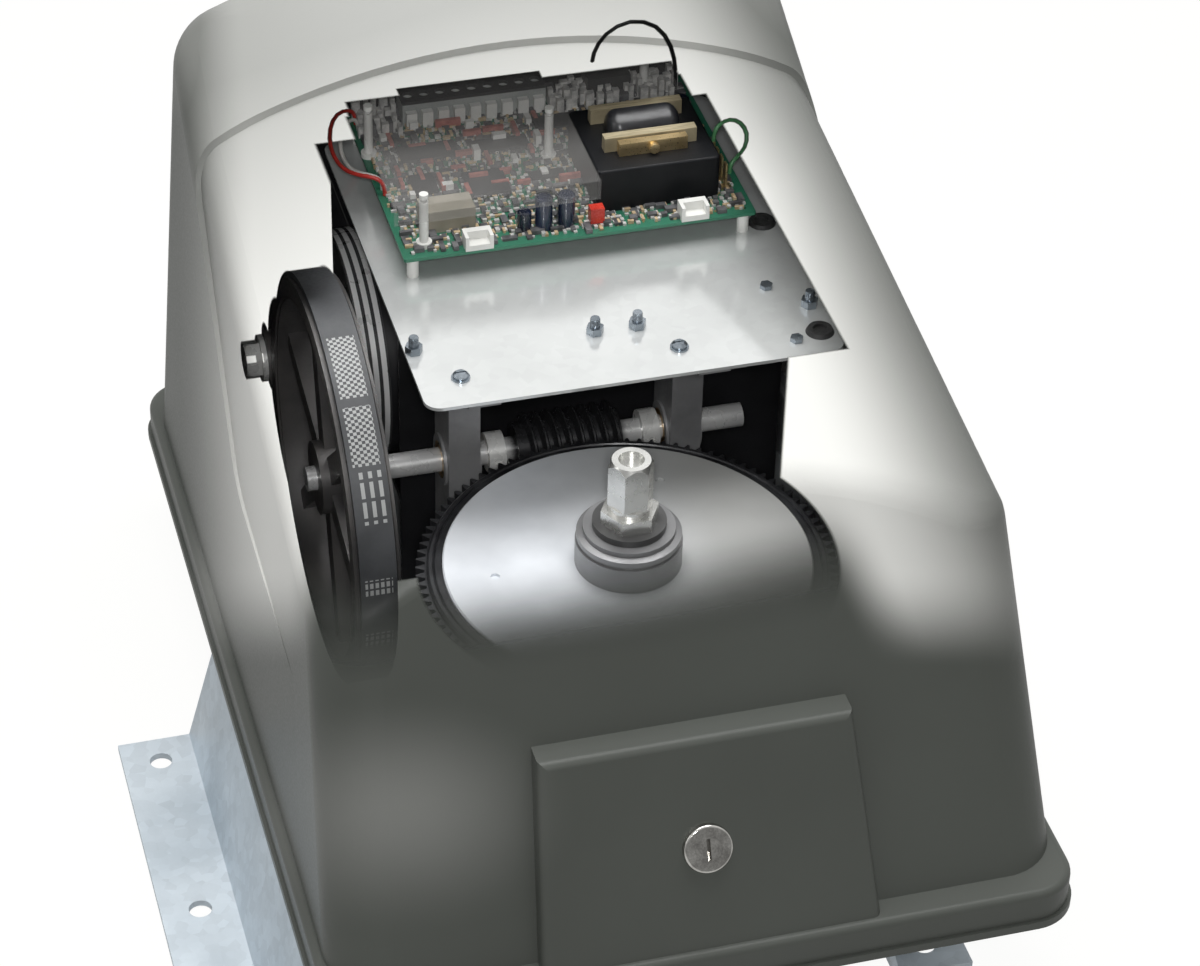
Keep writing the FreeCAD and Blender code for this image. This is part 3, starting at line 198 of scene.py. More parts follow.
# Worm wheel.
# The toothed wheel on the output shaft, cast iron with cut teeth and a raised bead inside them.
# It is dark with gear grease, which lies thicker in some places.
dress(patchy("greased_gear_iron", (0.036, 0.037, 0.040), (0.012, 0.012, 0.014), patches=45, grain=400,
             gloss=(0.3, 0.5), bump=0.00006, Metallic=0.2, Coat_Weight=0.25, Coat_Roughness=0.3), "worm_wheel")


# Wheel disc, hub and output shaft.
# Turned steel: the wide clutch disc that lies on the worm wheel, its stepped collar and the vertical shaft.
# The lathe leaves fine rings about the shaft's centre, and the disc's right half is painted a duller grey as painted
# shade.
def axes(tree, place):
    """The X, Y and Z outputs of a place."""
    return node_of(tree, "ShaderNodeSeparateXYZ", {"Vector": place}).outputs


def length_of(tree, sides):
    flat = node_of(tree, "ShaderNodeCombineXYZ", sides).outputs["Vector"]
    return node_of(tree, "ShaderNodeVectorMath", {0: flat}, operation="LENGTH", name="reach").outputs["Value"]


def turned_steel(name, centre, across, light, dark, gloss, metal):
    """Steel with fine lathe rings about a centre; across names the two axes that the rings lie in."""
    material = patchy(name, light, dark, patches=16, grain=90, gloss=gloss, Metallic=metal)
    tree = material.node_tree
    sides = axes(tree, object_place(tree, centre=centre))
    reach = length_of(tree, {"X": sides[across[0]], "Y": sides[across[1]]})
    rings = node_of(tree, "ShaderNodeTexNoise", {"W": reach, "Scale": 1100, "Detail": 3}, noise_dimensions="1D")
    add_bump(tree, rings.outputs["Fac"], depth=0.00002, strength=0.5)
    return material


DISC_SHADE_TONE = (0.42, 0.42, 0.40, 1)
DISC_SHADE_LEFT, DISC_SHADE_RIGHT, DISC_SHADE_SHARE = -0.06, 0.07, 0.9
shaft_low, shaft_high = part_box("output_shaft")
shaft_centre = (shaft_low + shaft_high) / 2
material = turned_steel("disc_turned_steel", shaft_centre, "XY", (0.88, 0.91, 0.95), (0.70, 0.73, 0.77),
                        gloss=(0.42, 0.52), metal=0.12)
tree = material.node_tree
side = axes(tree, object_place(tree, centre=shaft_centre))["X"]
# Painted shade: the disc grows darker towards its right half.
overlay(tree, DISC_SHADE_TONE, ramp(tree, side, DISC_SHADE_LEFT, DISC_SHADE_RIGHT, high=DISC_SHADE_SHARE))
dress(material, "wheel_disc")
dress(turned_steel("hub_turned_steel", shaft_centre, "XY", (0.30, 0.30, 0.305), (0.21, 0.21, 0.215),
                   gloss=(0.3, 0.44), metal=0.4), "hub_collar", "output_shaft")
dress(turned_steel("hub_washer_steel", shaft_centre, "XY", (0.13, 0.13, 0.13), (0.08, 0.08, 0.08),
                   gloss=(0.3, 0.44), metal=0.6), "hub_washer")


# Worm shaft, its collars and the motor shaft.
# Ground steel bars that lie across the machine; the worm's thread is cut into the thick middle.
# The thread carries black grease, and the bare ends and the collars stay bright.
def calc(tree, operation, first, second=0.0):
    """One sum on sockets or plain numbers."""
    return node_of(tree, "ShaderNodeMath", {0: first, 1: second}, operation=operation).outputs["Value"]


GREASE_TONE = (0.03, 0.03, 0.032, 1)
GREASE_HALF_LENGTH = 0.033
GREASE_EDGE = 0.003
worm_low, worm_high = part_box("worm_shaft")
worm_centre = (worm_low + worm_high) / 2
material = turned_steel("worm_ground_steel", worm_centre, "YZ", (0.76, 0.76, 0.75), (0.58, 0.58, 0.58),
                        gloss=(0.24, 0.32), metal=0.4)
tree = material.node_tree
side = axes(tree, object_place(tree, centre=(shaft_centre.x, 0, 0)))["X"]
overlay(tree, GREASE_TONE, ramp(tree, calc(tree, "ABSOLUTE", side), GREASE_HALF_LENGTH + GREASE_EDGE,
                                GREASE_HALF_LENGTH - GREASE_EDGE))
dress(material, "worm_shaft")
dress(white_zinc, "shaft_collars")
motor_low, motor_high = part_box("motor_shaft")
motor_centre = (motor_low + motor_high) / 2
dress(turned_steel("motor_ground_steel", motor_centre, "YZ", (0.62, 0.62, 0.63), (0.44, 0.44, 0.45),
                   gloss=(0.18, 0.32), metal=0.9), "motor_shaft")


# Motor.
# A closed induction motor: a black painted steel can between two dark end bells, on a cradle; each end bell's rim has
# bright ribs, partly bare metal and partly a painted highlight.
# Inside are the wound stator and the rotor's stack of thin sheets, and black sheet walls stand round it.
def bars(tree, value, pitch, share):
    """1 on bars that fill a share of each pitch, and 0 between them."""
    return calc(tree, "LESS_THAN", calc(tree, "FRACT", calc(tree, "DIVIDE", value, pitch)), share)


BARE_RIB_AND_HIGHLIGHT_TONE = (0.86, 0.86, 0.86, 1)
RIM_START, RIM_END = 0.0625, 0.0640
RIB_PITCH, RIB_SHARE = 0.0052, 0.6
dress(patchy("black_motor_paint", (0.016, 0.016, 0.018), (0.008, 0.008, 0.009), patches=20, grain=500,
             gloss=(0.35, 0.55), bump=0.00004, Specular_IOR_Level=0.4),
      "motor_can", "motor_cradle", "motor_enclosure")
material = turned_steel("die_cast_end_bell", motor_centre, "YZ", (0.06, 0.06, 0.062), (0.04, 0.04, 0.042),
                        gloss=(0.26, 0.34), metal=0.2)
tree = material.node_tree
# The rim's ribs are painted bright: bare metal, and also a painted highlight.
rim = ramp(tree, tree.nodes["reach"].outputs["Value"], RIM_START, RIM_END)
ribs = bars(tree, axes(tree, object_place(tree))["X"], RIB_PITCH, RIB_SHARE)
overlay(tree, BARE_RIB_AND_HIGHLIGHT_TONE, calc(tree, "MULTIPLY", rim, ribs))
dress(material, "motor_end_pulley_side", "motor_end_far_side")
dress(patchy("lacquered_copper", (0.42, 0.20, 0.10), (0.22, 0.10, 0.05), patches=60, grain=900, gloss=(0.25, 0.45),
             Metallic=0.8), "motor_stator")
dress(patchy("sheet_laminations", (0.34, 0.34, 0.35), (0.20, 0.20, 0.21), patches=60, grain=900, gloss=(0.35, 0.55),
             bump=0.00003, stretch=(12, 1, 1), Metallic=0.8), "motor_rotor")


# Drive pulley and motor pulley.
# Cast pulleys with a satin charcoal coat; the large one has arms and turns the worm shaft.
# The coat is a little browner where it has run thick.
dress(patchy("charcoal_pulley_coat", (0.088, 0.083, 0.080), (0.050, 0.048, 0.048), patches=25, grain=600,
             gloss=(0.34, 0.52), bump=0.00005, Metallic=0.15), "drive_pulley", "motor_pulley")


# Drive belt.
# A wide flat-backed rubber belt over both pulleys, moulded in one loop.
# Its back carries printed blocks of small white checks and bars, which are plain marks with no letters.
def combined(tree, operation, values):
    """Works through several values with one kind of sum."""
    result = values[0]
    for value in values[1:]:
        result = calc(tree, operation, result, value)
    return result


def between(tree, value, low, high):
    return calc(tree, "MULTIPLY", calc(tree, "GREATER_THAN", value, low), calc(tree, "LESS_THAN", value, high))


BELT_RADIUS = 0.1164
PRINT_TONE = (0.72, 0.73, 0.72, 1)
PRINT_STRENGTH = 0.55
PRINT_HALF_WIDTH = 0.0075
PRINT_DEPTH = 0.001
CHECK_LENGTH, CHECK_WIDTH = 0.0017, 0.0019
EDGE_SHIFT = 0.05
belt_low, belt_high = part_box("drive_belt")
belt_middle = (belt_low + belt_high) / 2
material = patchy("printed_belt_rubber", (0.080, 0.083, 0.088), (0.052, 0.054, 0.058), patches=30, grain=500,
                  gloss=(0.42, 0.6), bump=0.00005, Specular_IOR_Level=0.45)
tree = material.node_tree
spot = axes(tree, object_place(tree, centre=(belt_middle.x, worm_centre.y, worm_centre.z)))
turn = calc(tree, "ARCTAN2", spot["Z"], spot["Y"])
run = calc(tree, "MULTIPLY", turn, BELT_RADIUS)
across = calc(tree, "ADD", spot["X"], EDGE_SHIFT)
cell = node_of(tree, "ShaderNodeCombineXYZ", {
    "X": calc(tree, "DIVIDE", run, CHECK_LENGTH), "Y": calc(tree, "DIVIDE", across, CHECK_WIDTH), "Z": 0.5})
checks = node_of(tree, "ShaderNodeTexChecker", {"Vector": cell.outputs["Vector"], "Scale": 1}).outputs["Fac"]
long_bars = calc(tree, "MULTIPLY", bars(tree, across, pitch=0.005, share=0.42),
                 bars(tree, run, pitch=0.0105, share=0.82))
short_bars = calc(tree, "MULTIPLY", bars(tree, across, pitch=0.003, share=0.62),
                  bars(tree, run, pitch=0.0045, share=0.72))
mark = 0.0
# Each block: where it starts and ends in degrees round the drive pulley, and its pattern.
for first, last, pattern in ((103, 122, checks), (124.5, 140.5, checks), (142, 156, long_bars),
                             (171.8, 177.2, short_bars), (-169.6, -163.6, short_bars)):
    block = between(tree, turn, math.radians(first), math.radians(last))
    mark = calc(tree, "ADD", mark, calc(tree, "MULTIPLY", block, pattern))
on_back = calc(tree, "GREATER_THAN", length_of(tree, {"Y": spot["Y"], "Z": spot["Z"]}), BELT_RADIUS - PRINT_DEPTH)
in_middle = between(tree, spot["X"], -PRINT_HALF_WIDTH, PRINT_HALF_WIDTH)
overlay(tree, PRINT_TONE, combined(tree, "MULTIPLY", [mark, in_middle, on_back, PRINT_STRENGTH]))
dress(material, "drive_belt")


# Electronics plate and its grommets.
# A galvanized sheet with rounded corners on top of the bearing bars and the motor's walls.
# Black rubber rings are pressed into two holes in it, where wiring can pass.
dress(galvanized("galvanized_electronics_plate", (0.73, 0.745, 0.74), (0.67, 0.685, 0.68), gloss=(0.11, 0.17),
                 metal=0.42, spangle=0.05), "electronics_plate")
dress(patchy("grommet_rubber", (0.030, 0.030, 0.030), (0.012, 0.012, 0.012), patches=80, grain=900,
             gloss=(0.5, 0.75), bump=0.00005), "plate_grommets")


# Stud threads.
# Each steel stud on the plate is threaded above its hexagon foot.
# The thread is rolled, so it shows as close rings.
def growth_tree(name, sizes):
    """A Geometry Nodes tree with named inputs for its places, its sizes and its material."""
    tree = bpy.data.node_groups.new(name, "GeometryNodeTree")
    add_sockets(tree, "INPUT", {"Geometry": "Geometry", **sizes, "Material": "Material"})
    add_sockets(tree, "OUTPUT", {"Geometry": "Geometry"})
    return tree, node_of(tree, "NodeGroupInput").outputs


def place_and_end(tree, given, sockets):
    """Places instances on points, makes them real, gives them the tree's material and sends them out."""
    placed = node_of(tree, "GeometryNodeInstanceOnPoints", sockets).outputs["Instances"]
    real = node_of(tree, "GeometryNodeRealizeInstances", {"Geometry": placed}).outputs["Geometry"]
    finished = node_of(tree, "GeometryNodeSetMaterial", {"Geometry": real, "Material": given["Material"]})
    node_of(tree, "NodeGroupOutput", {"Geometry": finished.outputs["Geometry"]})


def grow(name, tree, points, edges, faces, body, sizes):
    """Runs a tree on a small mesh of places and keeps what grows there as a plain mesh on one body."""
    places = bpy.data.meshes.new(name + "_places")
    places.from_pydata(points, edges, faces)
    piece = bpy.data.objects.new(name, places)
    bpy.context.scene.collection.objects.link(piece)
    modifier = piece.modifiers.new("growth", "NODES")
    modifier.node_group = tree
    for item in tree.interface.items_tree:
        if item.in_out == "INPUT" and item.name in sizes:
            modifier[item.identifier] = sizes[item.name]
    grown = bpy.data.meshes.new_from_object(piece.evaluated_get(bpy.context.evaluated_depsgraph_get()))
    piece.modifiers.clear()
    piece.data = grown
    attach(piece, body)


STUD_PLACES = ((-0.040, 0.113), (0.060, 0.107), (0.084, 0.107), (0.182, 0.104))
STUD_FOOT_HEIGHT = 0.0052
threads, given = growth_tree("thread_rings", {"Pitch": "Float", "Turns": "Int", "Radius": "Float", "Depth": "Float"})
step = node_of(threads, "ShaderNodeCombineXYZ", {"Z": given["Pitch"]})
line = node_of(threads, "GeometryNodeMeshLine", {"Count": given["Turns"], "Offset": step.outputs["Vector"]})
ring = node_of(threads, "GeometryNodeCurvePrimitiveCircle", {"Resolution": 24, "Radius": given["Radius"]})
profile = node_of(threads, "GeometryNodeCurvePrimitiveCircle", {"Resolution": 6, "Radius": given["Depth"]})
swept = node_of(threads, "GeometryNodeCurveToMesh", {
    "Curve": ring.outputs["Curve"], "Profile Curve": profile.outputs["Curve"]})
stack = node_of(threads, "GeometryNodeInstanceOnPoints", {
    "Points": line.outputs["Mesh"], "Instance": swept.outputs["Mesh"]})
place_and_end(threads, given, {"Points": given["Geometry"], "Instance": stack.outputs["Instances"]})
plate_low, plate_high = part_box("electronics_plate")
plate_top = plate_high.z
stud_feet = [(x, y, plate_top + STUD_FOOT_HEIGHT) for x, y in STUD_PLACES]
grow("stud_threads", threads, stud_feet, [], [], "chassis",
     {"Pitch": 0.0008, "Turns": 6, "Radius": 0.0025, "Depth": 0.0003, "Material": blued_zinc})


# Circuit board.
# A glass-fibre board with green solder resist, held over the plate on four nylon standoffs.
# Copper tracks under the resist show as slightly paler lines.
TRACK_TONE = (0.03, 0.18, 0.105, 1)
material = patchy("green_solder_resist", (0.012, 0.105, 0.064), (0.007, 0.070, 0.043), patches=60, grain=900,
                  gloss=(0.35, 0.5), Coat_Weight=0.3, Coat_Roughness=0.25)
tree = material.node_tree
tracks = node_of(tree, "ShaderNodeTexBrick", {
    "Vector": object_place(tree), "Scale": 260, "Mortar Size": 0.08, "Color1": (0, 0, 0, 1),
    "Color2": (0.2, 0.2, 0.2, 1), "Mortar": (1, 1, 1, 1)})
overlay(tree, TRACK_TONE, tracks.outputs["Color"])
dress(material, "circuit_board")
white_nylon = patchy("white_nylon", (0.80, 0.80, 0.77), (0.70, 0.70, 0.67), patches=60, grain=900, gloss=(0.35, 0.5))
dress(white_nylon, "board_standoffs", "cover_posts", "board_connectors")


# Large parts soldered to the board.
# Moulded chips and relays, sleeved capacitors, a red fuse and stamped brass terminals.
# The relay at the front has a beige case, and the one at the rear is black.
BEIGE_RELAY_EDGE = 0.06
BLACK_CASE_TONE = (0.025, 0.025, 0.027, 1)
dress(patchy("black_moulding", (0.040, 0.040, 0.043), (0.022, 0.022, 0.024), patches=60, grain=900, gloss=(0.3, 0.5),
             bump=0.00003), "board_chips")
material = patchy("relay_cases", (0.34, 0.31, 0.25), (0.26, 0.24, 0.19), patches=60, grain=900, gloss=(0.3, 0.5))
tree = material.node_tree
side = axes(tree, object_place(tree))["X"]
overlay(tree, BLACK_CASE_TONE, calc(tree, "GREATER_THAN", side, BEIGE_RELAY_EDGE))
dress(material, "board_relays")
dress(patchy("capacitor_sleeve", (0.016, 0.024, 0.055), (0.006, 0.009, 0.020), patches=60, grain=900,
             gloss=(0.2, 0.35), stretch=(1, 1, 0.15), Coat_Weight=0.5, Coat_Roughness=0.15), "board_capacitors")
dress(patchy("red_fuse_moulding", (0.62, 0.05, 0.03), (0.45, 0.03, 0.02), patches=60, grain=900, gloss=(0.2, 0.35)),
      "board_fuse")
stamped_brass = patchy("stamped_brass", (0.74, 0.58, 0.32), (0.56, 0.42, 0.22), patches=60, grain=900,
                       gloss=(0.25, 0.42), Metallic=0.9)
dress(stamped_brass, "brass_terminals")


# Small parts on the board.
# Hundreds of little resistors, capacitors and networks that are soldered flat between the large parts.
# They stand square to the board's edges, in no fixed rows.
scatter, given = growth_tree("scattered_parts", {"Spacing": "Float", "Share": "Float", "Smallest": "Vector",
                                                 "Largest": "Vector", "Seed": "Int"})
spots = node_of(scatter, "GeometryNodeDistributePointsOnFaces", {
    "Mesh": given["Geometry"], "Distance Min": given["Spacing"], "Density Max": 400000,
    "Density Factor": given["Share"], "Seed": given["Seed"]}, distribute_method="POISSON")
brick = node_of(scatter, "GeometryNodeMeshCube")
raised = node_of(scatter, "GeometryNodeTransform", {
    "Geometry": brick.outputs["Mesh"], "Translation": (0, 0, 0.5)})
VECTOR_MIN, VECTOR_MAX, WHOLE_MIN, WHOLE_MAX = 0, 1, 4, 5  # sockets of the random node
size = node_of(scatter, "FunctionNodeRandomValue", {
    VECTOR_MIN: given["Smallest"], VECTOR_MAX: given["Largest"], "Seed": given["Seed"]}, data_type="FLOAT_VECTOR")
quarter = node_of(scatter, "FunctionNodeRandomValue", {
    WHOLE_MIN: 0, WHOLE_MAX: 1, "Seed": given["Seed"]}, data_type="INT")
angle = calc(scatter, "MULTIPLY", quarter.outputs[2], math.pi / 2)
facing = node_of(scatter, "ShaderNodeCombineXYZ", {"Z": angle})
place_and_end(scatter, given, {"Points": spots.outputs["Points"], "Instance": raised.outputs["Geometry"],
                               "Rotation": facing.outputs["Vector"], "Scale": size.outputs[0]})
board_low, board_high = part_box("circuit_board")
BOARD_TOP = board_high.z


def board_areas(areas):
    """Points and faces for oblongs on the board; each is left, front, right and rear in metres."""
    points, faces = [], []
    for x0, y0, x1, y1 in areas:
        first = len(points)
        points += [(x0, y0, BOARD_TOP), (x1, y0, BOARD_TOP), (x1, y1, BOARD_TOP), (x0, y1, BOARD_TOP)]
        faces.append((first, first + 1, first + 2, first + 3))
    return points, faces


MARGIN, REAR_MARGIN = 0.005, 0.004
whole_board = (board_low.x + MARGIN, board_low.y + MARGIN, board_high.x - MARGIN, board_high.y - REAR_MARGIN)
middle_band = (-0.016, 0.234, 0.080, 0.306)
front_band = (-0.022, 0.184, 0.164, 0.196)
rear_edge = ((-0.026, 0.302, -0.003, 0.327), (0.089, 0.306, 0.170, 0.327))
grey_moulding = patchy("grey_moulding", (0.15, 0.15, 0.155), (0.055, 0.055, 0.058), patches=150, grain=900,
                       gloss=(0.3, 0.5))
tan_body = patchy("tan_resistor_body", (0.60, 0.47, 0.30), (0.40, 0.29, 0.17), patches=300, grain=900,
                  gloss=(0.35, 0.5))
pale_body = patchy("pale_ceramic_body", (0.66, 0.65, 0.62), (0.40, 0.40, 0.39), patches=260, grain=900,
                   gloss=(0.3, 0.5))
brick_red = patchy("brick_red_network", (0.48, 0.18, 0.15), (0.34, 0.12, 0.10), patches=200, grain=900,
                   gloss=(0.3, 0.5))
# Each row: name, slot, material, areas, spacing, share of places, smallest and largest size, seed; in millimetres.
small_parts = (
    ("dark_small_parts", "black_plastic", grey_moulding, (whole_board,), 6.0, 0.95, (3.0, 2.2, 1.2), (9, 4.5, 3.0), 3),
    ("dark_rear_parts", "black_plastic", grey_moulding, rear_edge, 9.0, 0.9, (4, 3, 5), (9, 6, 12), 17),
    ("pale_rear_parts", "white_nylon", pale_body, rear_edge, 4.2, 0.95, (2.5, 2.5, 7), (5, 4, 13), 29),
    ("tan_small_parts", "brass", tan_body, (whole_board, front_band), 5.4, 0.85, (2.4, 1.4, 1.2), (5.5, 2, 2.2), 8),
    ("pale_small_parts", "white_nylon", pale_body, (whole_board,), 3.6, 0.95, (1.4, 1.2, 0.8), (3.6, 2.4, 2.2), 21),
    ("red_networks", "fuse_red", brick_red, (middle_band,), 13.0, 0.7, (7.0, 2.2, 3.0), (15, 2.6, 5.5), 5),
    ("tall_white_parts", "white_nylon", white_nylon, (middle_band,), 21.0, 0.6, (4, 3, 4), (8, 4.5, 7.5), 12),
    ("solder_joints", "brass", stamped_brass, (whole_board, front_band), 4.0, 0.7, (0.8, 0.8, 0.4),
     (1.5, 1.1, 0.9), 33),
)
for name, slot, body_material, areas, spacing, share, smallest, largest, seed in small_parts:
    points, faces = board_areas(areas)
    grow(name, scatter, points, [], faces, "chassis",
         {"Spacing": spacing / 1000, "Share": share, "Smallest": [s / 1000 for s in smallest],
          "Largest": [s / 1000 for s in largest], "Seed": seed, "Material": body_material})


# Chip legs and terminal clamps.
# Tinned legs run along two sides of each chip, and each pole of the terminal strip has a white clamp.
# The strip itself is a pale moulding with a dark top bar.
rowed, given = growth_tree("pieces_along_rows", {"Pitch": "Float", "Size": "Vector"})
rows = node_of(rowed, "GeometryNodeMeshToCurve", {"Mesh": given["Geometry"]})
spaced = node_of(rowed, "GeometryNodeResampleCurve", {
    "Curve": rows.outputs["Curve"], "Length": given["Pitch"]}, mode="LENGTH")
block = node_of(rowed, "GeometryNodeMeshCube", {"Size": given["Size"]})
place_and_end(rowed, given, {"Points": spaced.outputs["Curve"], "Instance": block.outputs["Mesh"]})
# Each chip: left, front, width and depth in millimetres, as are the legs' gap and inset.
CHIP_BOXES = ((-10, 271, 34, 16), (32, 271, 34, 12), (74, 286, 30, 14), (20, 228, 24, 24), (58, 236, 20, 8),
              (112, 286, 40, 16))
LEG_GAP = 0.9
LEG_INSET = 1.5
LEG_SIZE = (0.0007, 0.0018, 0.0014)
LEG_PITCH = 0.0018
leg_points, leg_edges = [], []
for x, y, width, depth in CHIP_BOXES:
    for row_y in (y - LEG_GAP, y + depth + LEG_GAP):
        leg_edges.append((len(leg_points), len(leg_points) + 1))
        leg_points += [(end_x / 1000, row_y / 1000, BOARD_TOP + LEG_SIZE[2] / 2)
                       for end_x in (x + LEG_INSET, x + width - LEG_INSET)]
grow("chip_legs", rowed, leg_points, leg_edges, [], "chassis",
     {"Pitch": LEG_PITCH, "Size": LEG_SIZE, "Material": bright_zinc})
POLES = 9
CLAMP_SIZE = (0.0062, 0.0040, 0.0100)
CLAMP_PITCH = 0.999  # of a pole, so that rounding doesn't lose the last clamp
strip_low, strip_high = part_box("terminal_strip")
pole = (strip_high.x - strip_low.x) / POLES
clamp_row = [(x, strip_low.y - CLAMP_SIZE[1] / 2, BOARD_TOP + CLAMP_SIZE[2] / 2)
             for x in (strip_low.x + pole / 2, strip_high.x - pole / 2)]
grow("terminal_clamps", rowed, clamp_row, [(0, 1)], [], "chassis",
     {"Pitch": pole * CLAMP_PITCH, "Size": CLAMP_SIZE, "Material": white_nylon})
BAR_TONE = (0.03, 0.03, 0.032, 1)
BAR_DEPTH = 0.002
material = patchy("terminal_strip_moulding", (0.42, 0.44, 0.42), (0.30, 0.32, 0.31), patches=60, grain=900,
                  gloss=(0.3, 0.5))
tree = material.node_tree
height = axes(tree, object_place(tree))["Z"]
overlay(tree, BAR_TONE, calc(tree, "GREATER_THAN", height, strip_high.z - BAR_DEPTH))
dress(material, "terminal_strip")


# Transformer.
# A potted transformer in a black box, with the taped coil and its sheet core standing out of the top.
# A brass strap with one screw holds the coil, and the tape shows as low ridges.
dress(patchy("potting_case_black", (0.011, 0.0115, 0.013), (0.006, 0.0065, 0.008), patches=40, grain=900,
             gloss=(0.4, 0.52), bump=0.00003, Specular_IOR_Level=0.2), "transformer_case")
material = patchy("black_coil_tape", (0.024, 0.025, 0.028), (0.008, 0.008, 0.010), patches=90, grain=200,
                  gloss=(0.3, 0.38), Coat_Weight=0.15, Coat_Roughness=0.3)
tree = material.node_tree
ridges = node_of(tree, "ShaderNodeTexWave", {
    "Vector": object_place(tree, (0.6, 1, 1)), "Scale": 42, "Distortion": 1.2, "Detail Scale": 3.0},
    bands_direction="Z")
add_bump(tree, ridges.outputs["Fac"], depth=0.0003)
dress(material, "transformer_winding")
dress(patchy("core_sheet_edges", (0.62, 0.54, 0.36), (0.40, 0.34, 0.22), patches=60, grain=900, gloss=(0.35, 0.5),
             bump=0.00005, stretch=(1, 14, 1), Metallic=0.5), "transformer_core")
dress(stamped_brass, "transformer_clip")


# Clear cover over the board.
# A smoky clear plastic sheet on four white posts, with a short lip along the front.
# It is bent from one sheet, and catches a faint haze.
dress(patchy("smoky_clear_sheet", (0.60, 0.59, 0.57), (0.50, 0.49, 0.48), patches=20, grain=300, gloss=(0.06, 0.12),
             IOR=1.45, Alpha=0.1), "board_cover")


# Leads on the board.
# Four short loops of insulated stranded wire, each soldered or plugged at both ends on the board.
# They are limp, so each rises from its ends and bows over in one loose curve.
LEAD_DIAMETER = 0.0024
SHADED = 0.75
# Each lead: colour, length in metres, and its route in millimetres, with heights above the board.
board_leads = {
    "red_lead": ((0.58, 0.045, 0.035), 0.1108, ((-26, 321, 0), (-26, 321, 6.2), (-30, 319, 11.7), (-39, 312, 14.7),
                 (-46, 299, 13.7), (-49.5, 281, 11.2), (-47, 262, 9.7), (-40, 251, 11.2), (-30, 245, 11.7),
                 (-26, 244, 6.2), (-26, 244, 0))),
    "white_lead": ((0.78, 0.77, 0.73), 0.0878, ((-26, 314, 0), (-26, 314, 5.2), (-29.5, 312, 9.7), (-36, 305, 11.2),
                   (-41, 294, 9.7), (-43.5, 279, 7.2), (-41, 265, 6.2), (-36, 256, 8.2), (-29.5, 251, 8.7),
                   (-26, 250, 4.7), (-26, 250, 0))),
    "black_lead": ((0.016, 0.016, 0.017), 0.098, ((118, 326, 15), (118, 326, 24.2), (125, 326, 37.2), (140, 325, 45.2),
                   (156, 322, 41.2), (164, 317, 28.2), (166, 314, 13.2), (166, 314, 0))),
    "green_lead": ((0.10, 0.30, 0.13), 0.0583, ((163.6, 230, 17), (163.6, 230, 22.2), (167, 231.5, 26.7),
                   (174, 234, 27.7), (181, 234.5, 24.2), (184.5, 231.5, 17.7), (182, 227, 11.2), (176, 223, 8.7),
                   (171, 220.5, 5.2), (171, 220.5, 0))),
}
lead_points = {}
for name, (colour, length, route) in board_leads.items():
    lead_points[name] = [Vector((x / 1000, y / 1000, BOARD_TOP + height / 1000)) for x, y, height in route]
    curve = bpy.data.curves.new(name + "_wire", "CURVE")
    curve.dimensions = "3D"
    curve.resolution_u = 8
    curve.bevel_depth = LEAD_DIAMETER / 2
    curve.bevel_resolution = 4
    curve.use_fill_caps = True
    spline = curve.splines.new("NURBS")
    spline.points.add(len(route) - 1)
    for point, place in zip(spline.points, lead_points[name]):
        point.co = (*place, 1)
    spline.order_u = 3
    spline.use_endpoint_u = True
    wire = bpy.data.objects.new(name + "_wire", curve)
    bpy.context.scene.collection.objects.link(wire)
    curve.materials.append(patchy(name + "_insulation", colour, [c * SHADED for c in colour], patches=120, grain=900,
                                  gloss=(0.28, 0.45)))
    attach(wire, "chassis")
    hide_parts(name)


# Cover.
# One moulded shell of grey-green plastic with a fine grained skin, which lifts off over the whole machine.
# Its hood is clear where the gear, the belt and the board lie behind it, and painted pale round them as a painted glow
# and highlight, with a painted sheen spot and a paler crest as painted top light.
EYE = Vector((-0.38969, -1.43293, 1.43222))
# Pale tone of the painted glow and highlight on the hood.
PAINTED_GLOW_TONE = (0.80, 0.80, 0.77, 1)
SOFT_EDGE = 0.0012
FINE_EDGE = 0.0006
STROKE_OUTSIDE, STROKE_INSIDE = 0.0005, 0.0003


def vector_sum(tree, operation, first, second, output="Vector"):
    return node_of(tree, "ShaderNodeVectorMath", {0: first, 1: second}, operation=operation).outputs[output]


def scaled(tree, vector, factor):
    return node_of(tree, "ShaderNodeVectorMath", {0: vector, "Scale": factor}, operation="SCALE").outputs["Vector"]


def cast(tree, place, axis, level):
    """Carries points on the cover along their lines from EYE to an inner plane; gives x, y and z there."""
    away = vector_sum(tree, "SUBTRACT", place, EYE)
    factor = calc(tree, "DIVIDE", level - EYE["XYZ".index(axis)], axes(tree, away)[axis])
    return vector_sum(tree, "ADD", scaled(tree, away, factor), EYE)


def along(tree, place, direction):
    return vector_sum(tree, "DOT_PRODUCT", place, direction, "Value")


def oblong(tree, place, axis, level, low, high, soft=SOFT_EDGE):
    """1 where the cast point is inside a box, on the two axes that the plane lies in."""
    parts = axes(tree, cast(tree, place, axis, level))
    nearest = 1.0
    for side in "XYZ".replace(axis, ""):
        number = "XYZ".index(side)
        nearest = calc(tree, "MINIMUM", nearest, calc(tree, "SUBTRACT", parts[side], low[number]))
        nearest = calc(tree, "MINIMUM", nearest, calc(tree, "SUBTRACT", high[number], parts[side]))
    return ramp(tree, nearest, -soft, soft)


def disc(tree, place, axis, centre, radius, soft=SOFT_EDGE):
    """1 where the cast point is inside a circle, on the plane that the circle lies in."""
    reach = vector_sum(tree, "DISTANCE", cast(tree, place, axis, centre["XYZ".index(axis)]), centre, "Value")
    return ramp(tree, reach, radius + soft, radius - soft)


